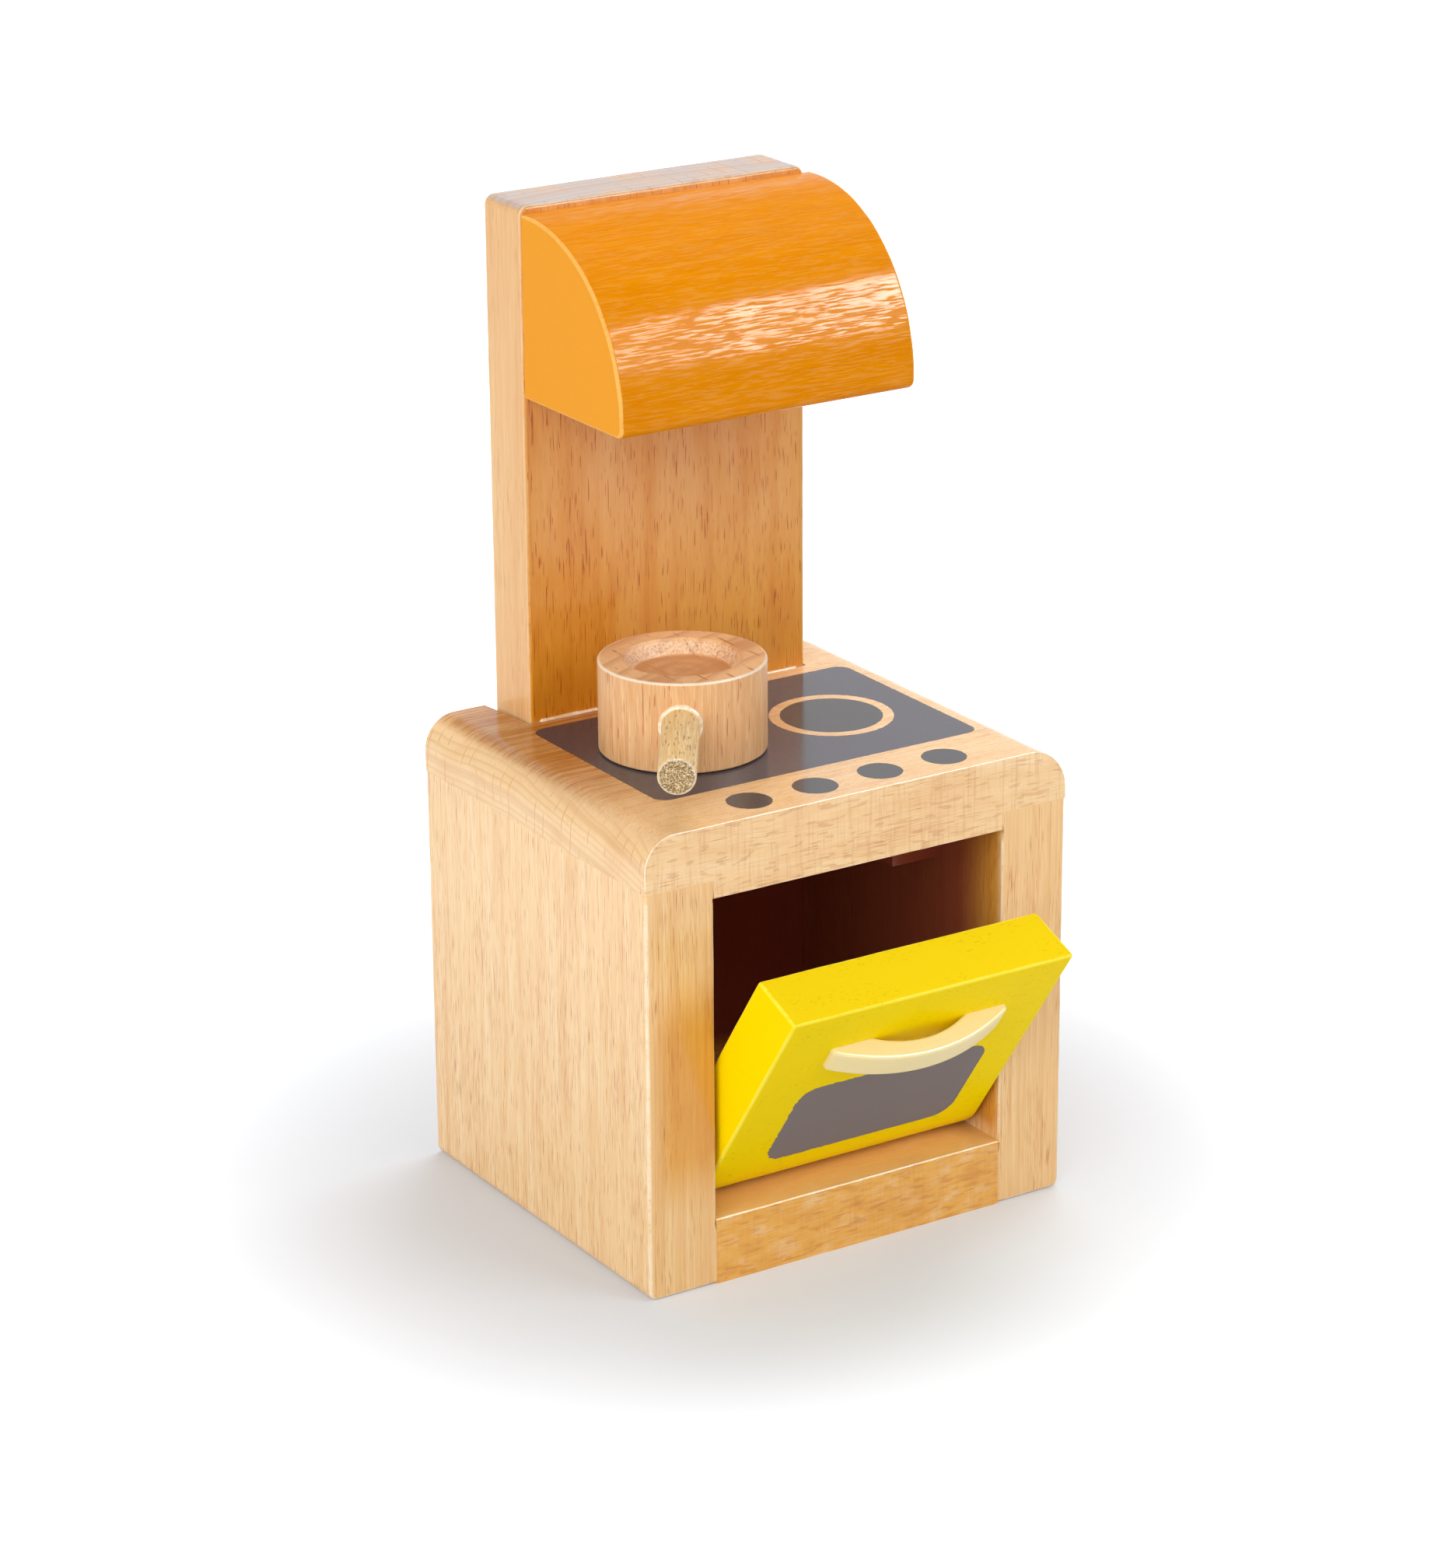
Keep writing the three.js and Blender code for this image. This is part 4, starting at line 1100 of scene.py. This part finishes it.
class KITCHEN_OT_oven_door(bpy.types.Operator):
    """The yellow oven door with its printed window"""
    bl_idname = "kitchen.oven_door"
    bl_label = "Oven Door"

    def execute(self, context):
        sizes = context.scene.kitchen_sizes
        low, high = shut_box("oven_door")
        mesh = bar([
            (low.y, low.z, sizes.door_toe), (high.y, low.z, 0), (high.y, high.z - sizes.door_fall, 0),
            (low.y, high.z, 0)], "X", low.x, high.x, steps=16)
        round_edges(mesh, sizes.door_edge)
        hand_sanded(mesh, seed=23)
        swung_open(mesh)
        material = door_material(sizes, low.z)
        add_piece(mesh, "door_panel", material, "door", "oven_door")
        return {"FINISHED"}


def door_look(name):
    """Starts the look of a door piece, with its place in millimetres from the pivot line when it is shut."""
    return Look(name, PIVOT, (DOOR_ANGLE, 0, 0))


def door_material(sizes, foot):
    """Yellow paint with the grey window printed on its front, and painted shade on its top."""
    look = door_look("yellow paint")
    position = look.position
    pores = position.cloud((0.9, 0.15, 0.15)).rise(0.6, 0.72)
    patches = position.cloud((8, 3, 3)).rise(0.42, 0.62)
    look.color = shade("yellow")
    look.layer(pores * patches * 0.6, "yellow_pore_and_shade")
    # Painted shade on the door's upper faces.
    look.layer(look.normal().parts()[2].rise(0.62, 0.75) * 0.3, "yellow_pore_and_shade")
    look.layer(look.worn(0.5) * 0.7, "yellow_edge")
    x, y, z = position.parts()
    centre = (sizes.window_shift, foot + sizes.window_rise + sizes.window_height / 2, 0)
    half = (sizes.window_width / 2, sizes.window_height / 2, 0)
    leftward = (x * -1.0).rise(-4.0, 14.0) * 0.16 + 0.05
    window = printed(joined(look.tree, x, z, 0.0), centre, half, sizes.window_corner, leftward)
    window = window * (y * -1.0).rise(0.0, 1.0)
    specks = position.cloud((0.14, 0.14, 0.14)).rise(0.72, 0.8) * 0.35
    ink = mixed(specks, shade("window_grey"), shade("pale_wear_and_highlight"))
    look.color = mixed(window, look.color, ink)
    ripples = use_group(look.tree, "Lacquer Grain", {"Position": position, "Size": (2.2, 0.3, 0.3)})
    look.height = ripples["Height"] - pores * 0.4 + window * 0.3
    return look.finished(window * 0.2 + 0.26, depth=0.012, level=0.02)


class KITCHEN_OT_door_handle(bpy.types.Operator):
    """The cream plastic bow handle"""
    bl_idname = "kitchen.door_handle"
    bl_label = "Door Handle"

    def execute(self, context):
        sizes = context.scene.kitchen_sizes
        low, high = shut_box("door_handle")
        face = -sizes.door_pivot_depth
        half_span = (high.x - low.x) / 2
        half_gap = half_span - sizes.handle_foot
        outer = bow(half_span, face - sizes.handle_end, sizes.handle_bulge - sizes.handle_end)
        inner = bow(half_gap, face, sizes.handle_bulge - sizes.handle_grip)
        outline = [Vector((-half_span, face)), *outer, Vector((half_span, face)), *reversed(inner)]
        outline = [point + Vector(((low.x + high.x) / 2, 0)) for point in outline]
        mesh = prism(outline, "Z", low.z, high.z, spacing=2 * MM)
        round_edges(mesh, sizes.handle_edge, lambda middle: middle.y < face - 5 * TOUCHING)
        swung_open(mesh)
        add_piece(mesh, "bow_handle", handle_material(), "door", "door_handle")
        return {"FINISHED"}


def bow(half_chord, chord, bulge, steps=40):
    """Points of an arc over a chord, bulging to the front."""
    radius = (half_chord ** 2 + bulge ** 2) / (2 * bulge)
    half_angle = math.asin(half_chord / radius)
    points = []
    for step in range(steps + 1):
        turn = half_angle * (2 * step / steps - 1)
        points.append(Vector((radius * math.sin(turn), chord - bulge + radius * (1 - math.cos(turn)))))
    return points


def handle_material():
    """Cream plastic, a little dull, with soft flow lines."""
    look = door_look("cream plastic")
    look.color = shade("cream")
    look.layer(look.position.cloud((9, 3, 0.6)).rise(0.3, 0.8) * 0.3, "cream_shade")
    look.height = look.position.cloud((0.6, 0.6, 0.25), 3.0)
    return look.finished(
        0.28, depth=0.006, level=0.5, Subsurface_Weight=0.15, Subsurface_Radius=(1.0, 0.8, 0.5),
        Subsurface_Scale=1.5 * MM)


class KITCHEN_OT_saucepan(bpy.types.Operator):
    """The turned saucepan with its shallow recess"""
    bl_idname = "kitchen.saucepan"
    bl_label = "Saucepan"

    def execute(self, context):
        sizes = context.scene.kitchen_sizes
        low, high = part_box("pot_body")
        radius, height = (high.x - low.x) / 2, high.z - low.z
        centre = (low + high) / 2
        foot = Vector((centre.x, centre.y, low.z))
        mesh = turned(pan_profile(sizes, radius, height), sides=128)
        mesh.transform(Matrix.Translation(foot))
        material = pan_material(sizes, foot, radius / MM, height / MM)
        add_piece(mesh, "pan_bowl", material, "pot", "pot_body")
        return {"FINISHED"}


def pan_profile(sizes, radius, height, steps=12):
    """Radius and height pairs from the middle of the underside to the middle of the recess."""
    edge = sizes.pan_edge
    floor = height - sizes.pan_depth
    foot = [(out, -up) for out, up in reversed(edge_arc(radius, 0, edge))]
    side = [(radius, edge + (height - 2 * edge) * step / steps) for step in range(1, steps)]
    return [(0, 0), *foot, *side, *edge_arc(radius, height, edge), (sizes.pan_recess + edge, height),
            (sizes.pan_recess, height - edge), (sizes.pan_floor, floor), (0, floor)]


def pan_material(sizes, foot, outer, top):
    """Thinly lacquered beech with its grain upright, rough inside the recess, with a painted highlight on
    its rim and painted shade on the recess floor. Sizes in millimetres.
    """
    look = Look("pan beech", foot)
    look.wood(
        "ZXY", 51.0, wood="pan", Fleck_Size=(4.2, 0.3, 0.3), Fleck_Level=0.67, Fleck_Amount=0.75,
        Line_Amount=0.25, Streak_Size=(14, 0.6, 0.6), Streak_Amount=0.4, Fibre_Amount=0.6,
        Ring_Width=3.6, Ray_Spacing=3.8, End_Amount=0.9, Pith=(0, 30, -80))
    x, y, z = look.position.parts()
    radius = (x * x + y * y).math("SQRT")
    floor, lip = top - sizes.pan_depth / MM, sizes.pan_recess / MM
    rim = (radius - outer + 0.3).rise(-0.1, 0.1) * (z - top + 0.3).rise(-0.1, 0.1)
    inside = radius.rise(lip - 0.1, lip + 0.1).opposite() * z.rise(5.0, 6.0)
    wall = inside * z.rise(floor + 0.05, floor + 0.25)
    bottom = inside - wall
    torn = look.position.cloud((0.3, 0.3, 0.6), 3.0, 0.65)
    turning = (radius * 2.6 + torn * 0.8).math("SINE") * 0.5 + 0.5
    # A painted highlight along the rim.
    look.layer(rim * 0.6, "pale_wear_and_highlight")
    look.layer(wall * torn.rise(0.42, 0.6) * 0.45, "pale_wear_and_highlight")
    look.layer(wall * torn.rise(0.3, 0.46).opposite() * 0.5, "pan_line")
    # Painted shade on the recess floor, in turned rings.
    look.layer(bottom * (turning * 0.3 + 0.6), "pan_shade")
    look.height = look.height + look.position.cloud((0.25, 0.25, 0.5), 3.0) * 0.5
    look.height = look.height + wall * torn * 2.0 + bottom * turning * 0.6
    return look.finished(0.42, depth=0.018, level=0.35)


class KITCHEN_OT_pan_handle(bpy.types.Operator):
    """The saucepan's handle, a bare dowel"""
    bl_idname = "kitchen.pan_handle"
    bl_label = "Saucepan Handle"

    def execute(self, context):
        root, direction, reach, radius = pan_handle_run()
        edge = context.scene.kitchen_sizes.pan_edge
        steps = 24
        side = [(radius, (reach - edge) * step / steps) for step in range(steps)]
        mesh = turned([(0, 0), *side, *edge_arc(radius, reach, edge), (0, reach)], sides=64)
        hand_sanded(mesh, seed=31, amount=0.03 * MM, scale=1.2 * MM)
        mesh.transform(Matrix.Translation(root) @ direction.to_track_quat("Z", "Y").to_matrix().to_4x4())
        material = dowel_material(root, direction, reach / MM, radius / MM)
        add_piece(mesh, "pan_handle", material, "pot", "pot_handle")
        return {"FINISHED"}


def pan_handle_run():
    """Where the pan's handle starts in the pan, its direction, its length and its radius."""
    low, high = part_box("pot_handle")
    radius = (high.z - low.z) / 2
    centre = (low + high) / 2
    axis = sum(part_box("pot_body"), Vector()) / 2
    direction = Vector((centre.x - axis.x, centre.y - axis.y, 0)).normalized()
    reach = (high.x - low.x - abs(direction.y) * radius * 2) / abs(direction.x)
    return centre - direction * reach / 2, direction, reach, radius


def dowel_material(root, direction, reach, outer):
    """Pale bare wood with dark pores in its end. Its length and radius are in millimetres."""
    look = Look("dowel wood", root, direction.to_track_quat("X", "Z").to_euler())
    look.wood(
        "XYZ", 61.0, wood="dowel", Normal=(0.0, 0.0, 1.0), Fleck_Size=(1.8, 0.24, 0.24),
        Fleck_Level=0.64, Fleck_Amount=0.5, Streak_Size=(12.0, 0.5, 0.5), Fibre_Amount=0.6,
        Line_Amount=0.4)
    x, y, z = look.position.parts()
    tip = x.rise(reach - 0.12, reach - 0.04)
    pores = look.position.cloud((0.4, 0.16, 0.16))
    rim = (y * y + z * z).math("SQRT").rise(outer - 0.35, outer - 0.2)
    face = layered(
        shade("dowel_end"), (pores.rise(0.47, 0.6) * 0.8, shade("dowel_pore")),
        (pores.rise(0.32, 0.42).opposite() * 0.8, shade("pale_wear_and_highlight")), (rim * 0.6, shade("pale_wear_and_highlight")))
    look.color = mixed(tip, look.color, face)
    look.height = look.height - pores.rise(0.5, 0.62) * tip
    return look.finished(0.5, depth=0.06, level=0.35)


class KITCHEN_OT_glue(bpy.types.Operator):
    """Dried glue at the saucepan handle's root, along the back board's foot and in its seams"""
    bl_idname = "kitchen.glue"
    bl_label = "Dried Glue"

    def execute(self, context):
        sizes = context.scene.kitchen_sizes
        material = glue_material()
        mesh = round_bars(
            "handle glue", [(handle_root_ring(), True)], material, Radius=sizes.glue_ring, Unevenness=0.5,
            Waves=300.0, Seed=float(sizes.glue_seed), Count=96, Sides=12)
        add_piece(mesh, "handle_glue", material, "pot", sharp=ALL_SMOOTH)
        low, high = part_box("back_board")
        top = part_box("worktop")[1].z
        line = [Vector((side * (high.x - sizes.plank_corner), low.y, top)) for side in (-1, 1)]
        mesh = round_bars(
            "foot glue", [(line, False)], material, Radius=sizes.glue_bead, Unevenness=0.9, Waves=260.0,
            Seed=float(sizes.glue_seed), End_Taper=0.9, Count=160, Sides=12)
        add_piece(mesh, "foot_glue", material, "cabinet", sharp=ALL_SMOOTH)
        add_seam_glue(sizes.glue_recess)
        return {"FINISHED"}


def handle_root_ring(steps=48):
    """Points of the closed line where the handle meets the pan's round side."""
    pan_low, pan_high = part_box("pot_body")
    pan_radius = (pan_high.x - pan_low.x) / 2
    root, direction, _, radius = pan_handle_run()
    axis = (pan_low + pan_high) / 2
    axis.z = root.z
    side = Vector((-direction.y, direction.x, 0))
    ring = []
    for step in range(steps):
        turn = step / steps * 2 * math.pi
        across = radius * math.sin(turn)
        out = math.sqrt(pan_radius ** 2 - across ** 2)
        ring.append(axis + direction * out + side * across + Vector((0, 0, radius * math.cos(turn))))
    return ring


def add_seam_glue(recess, overlap=0.05 * MM):
    """Fills the seams between the back board and the side panels with glue and wood dust."""
    low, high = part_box("back_board")
    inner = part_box("side_panel_right")[0].x
    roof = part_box("worktop")[0].z
    for side, hand in ((-1, "left"), (1, "right")):
        first, last = sorted((side * (high.x - overlap), side * (inner + overlap)))
        mesh = bar([(first, recess, 0), (last, recess, 0), (last, roof, 0), (first, roof, 0)],
                   "Y", low.y + recess, high.y - recess, spacing=4 * MM)
        material = board_material(f"{hand} seam fill", "back_board", "ZXY", 35.0 + side)
        add_piece(mesh, f"seam_glue_{hand}", material, "cabinet")


def plain_material(name, base, over, size, rise, amount, detail=2.0, **finish):
    """A material of two colours that blend in blotches of about this size."""
    look = Look(name)
    look.color = shade(base)
    look.height = look.position.cloud(size, detail)
    look.layer(look.height.rise(*rise) * amount, over)
    return look.finished(**finish)


def glue_material():
    """Dried wood glue, pale and glossy."""
    return plain_material(
        "dried glue", "glue", "beech_shade", (0.8, 0.8, 0.8), (0.4, 0.65), 0.5, roughness=0.25, depth=0.05)


class KITCHEN_OT_fixings(bpy.types.Operator):
    """The hidden dowels and the door's two steel pins"""
    bl_idname = "kitchen.fixings"
    bl_label = "Dowels and Pins"

    def execute(self, context):
        wood = plain_material(
            "hidden dowel wood", "dowel", "dowel_shade", (0.5, 0.5, 0.5), (0.4, 0.65), 1.0, 3.0,
            roughness=0.6, depth=0.04, level=0.3)
        steel = plain_material(
            "steel pin", "steel", "pale_wear_and_highlight", (2.0, 0.08, 0.08), (0.4, 0.7), 0.3, roughness=0.3,
            depth=0.01, level=0.5, Metallic=1.0)
        dowels = [name for name in frame["nodes"] if "_dowel_" in name]
        pins = [name for name in frame["nodes"] if name.startswith("door_pin")]
        for title, nodes, body, material, slot in (
                ("hidden_dowels", dowels, "cabinet", wood, "dowel_wood"),
                ("hinge_pins", pins, "door", steel, "steel")):
            low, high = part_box(nodes[0])
            mesh = round_bars(
                title, [(bar_line(*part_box(node)), False) for node in nodes], material,
                Radius=min(high - low) / 2, End_Taper=0.25, Count=23, Sides=32)
            piece = add_piece(mesh, title, material, body, nodes[0])
            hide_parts(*nodes[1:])
        return {"FINISHED"}


def bar_line(low, high):
    """The two ends of a straight bar that fills a box."""
    middle, size = (low + high) / 2, high - low
    half = Vector([part / 2 if part == max(size) else 0 for part in size])
    return [middle - half, middle + half]


# Stage

class KITCHEN_OT_stage(bpy.types.Operator):
    """Camera, floor, lamps and surroundings"""
    bl_idname = "kitchen.stage"
    bl_label = "Stage"

    def execute(self, context):
        scene = context.scene
        stage = scene.kitchen_stage
        scene.view_settings.view_transform = "Standard"
        data = bpy.data.cameras.new("photo camera")
        data.sensor_fit = "AUTO"
        data.sensor_width = 36
        data.lens = stage.lens
        data.clip_start = 0.01
        data.clip_end = 20
        camera = bpy.data.objects.new("photo camera", data)
        turn = (Matrix.Rotation(-stage.heading, 4, "Z")
                @ Matrix.Rotation(math.pi / 2 - stage.tilt, 4, "X")
                @ Matrix.Rotation(stage.roll, 4, "Z"))
        camera.matrix_world = Matrix.Translation(stage.camera_place) @ turn
        scene.collection.objects.link(camera)
        scene.camera = camera
        add_floor(scene)
        add_softbox("key light", stage.key_power, (0.35, 0.35), 0.62 * Vector((0.5, -0.72, 0.46)))
        top = add_softbox("top light", stage.top_power, (0.4, 0.4), 0.6 * Vector((0.42, 0.3, 0.85)))
        top.visible_glossy = False
        add_softbox("fill light", stage.fill_power, (0.8, 0.6), 0.7 * Vector((-0.8, -0.4, 0.42)))
        shine = add_softbox("shine", stage.shine_power, (0.42, 0.3), Vector((0.3, -0.44, 0.35)))
        shine.visible_diffuse = False
        add_sky(scene, stage.sky)
        return {"FINISHED"}


def add_floor(scene):
    """A wide floor that shows white to the camera and still takes shadows."""
    mesh = bmesh.new()
    bmesh.ops.create_grid(mesh, x_segments=1, y_segments=1, size=3)
    data = bpy.data.meshes.new("floor")
    mesh.to_mesh(data)
    mesh.free()
    floor = bpy.data.objects.new("floor", data)
    scene.collection.objects.link(floor)
    look = Look("white floor")
    rays = add(look.tree, "ShaderNodeLightPath").outputs
    seen = Wire(rays["Is Camera Ray"])
    for kind in ("Is Glossy Ray", "Is Transmission Ray"):
        seen = seen.most(Wire(rays[kind]))
    x, y, _ = look.position.parts()
    away = (x * x + y * y).math("SQRT").rise(35.0, 150.0)
    inputs = {"Base Color": shade("floor"), "Roughness": 0.9, "Emission Color": (1, 1, 1, 1),
              "Emission Strength": seen * (away * 0.88 + 0.12)}
    for name, value in inputs.items():
        feed(look.shader[name], value)
    data.materials.append(look.material)


def add_softbox(name, power, size, place):
    """A flat lamp, wide and high, that faces the middle of the object."""
    data = bpy.data.lights.new(name, "AREA")
    data.shape = "RECTANGLE"
    data.size, data.size_y = size
    data.energy = power
    lamp = bpy.data.objects.new(name, data)
    aim = Vector((0, 0, 0.06))
    lamp.location = aim + place
    lamp.rotation_euler = (aim - lamp.location).to_track_quat("-Z", "Y").to_euler()
    bpy.context.scene.collection.objects.link(lamp)
    return lamp


def add_sky(scene, strength):
    """Even pale light from all round, white where the camera sees it."""
    world = bpy.data.worlds.new("studio")
    world.use_nodes = True
    tree = world.node_tree
    background = tree.nodes["Background"].inputs
    rays = add(tree, "ShaderNodeLightPath").outputs
    up = Wire(add(tree, "ShaderNodeTexCoord").outputs["Generated"]).parts()[2]
    dome = (up.rise(0.4, 0.75) * 0.9).opposite()
    mirrored = Wire(rays["Is Glossy Ray"])
    white = Wire(rays["Is Camera Ray"]).most(Wire(rays["Is Transmission Ray"]))
    plain = mirrored.most(white).opposite()
    feed(background["Color"], (1, 1, 1, 1))
    feed(background["Strength"], plain * strength + mirrored * dome + white)
    scene.world = world


class KITCHEN_PT_panel(bpy.types.Panel):
    """Lists the kitchen's operators"""
    bl_idname = "KITCHEN_PT_panel"
    bl_label = "Dollhouse Kitchen"
    bl_space_type = "VIEW_3D"
    bl_region_type = "UI"
    bl_category = "Kitchen"

    def draw(self, context):
        for operator in OPERATORS:
            self.layout.operator(operator.bl_idname)


OPERATORS = (
    KITCHEN_OT_stage, KITCHEN_OT_worktop, KITCHEN_OT_side_panels, KITCHEN_OT_bottom_board,
    KITCHEN_OT_back_board, KITCHEN_OT_door_stop, KITCHEN_OT_hood, KITCHEN_OT_oven_door,
    KITCHEN_OT_door_handle, KITCHEN_OT_saucepan, KITCHEN_OT_pan_handle, KITCHEN_OT_glue,
    KITCHEN_OT_fixings)
CLASSES = (KitchenSizes, KitchenColours, KitchenStage, *OPERATORS, KITCHEN_PT_panel)


def register():
    for kind in CLASSES:
        bpy.utils.register_class(kind)
    bpy.types.Scene.kitchen_sizes = PointerProperty(type=KitchenSizes)
    bpy.types.Scene.kitchen_colours = PointerProperty(type=KitchenColours)
    bpy.types.Scene.kitchen_stage = PointerProperty(type=KitchenStage)


def unregister():
    del bpy.types.Scene.kitchen_stage
    del bpy.types.Scene.kitchen_colours
    del bpy.types.Scene.kitchen_sizes
    for kind in reversed(CLASSES):
        bpy.utils.unregister_class(kind)


def main():
    register()
    bpy.ops.kitchen.stage()
    bpy.ops.kitchen.worktop()
    bpy.ops.kitchen.side_panels()
    bpy.ops.kitchen.bottom_board()
    bpy.ops.kitchen.back_board()
    bpy.ops.kitchen.door_stop()
    bpy.ops.kitchen.hood()
    bpy.ops.kitchen.oven_door()
    bpy.ops.kitchen.door_handle()
    bpy.ops.kitchen.saucepan()
    bpy.ops.kitchen.pan_handle()
    bpy.ops.kitchen.glue()
    bpy.ops.kitchen.fixings()


if __name__ == "__main__":
    main()
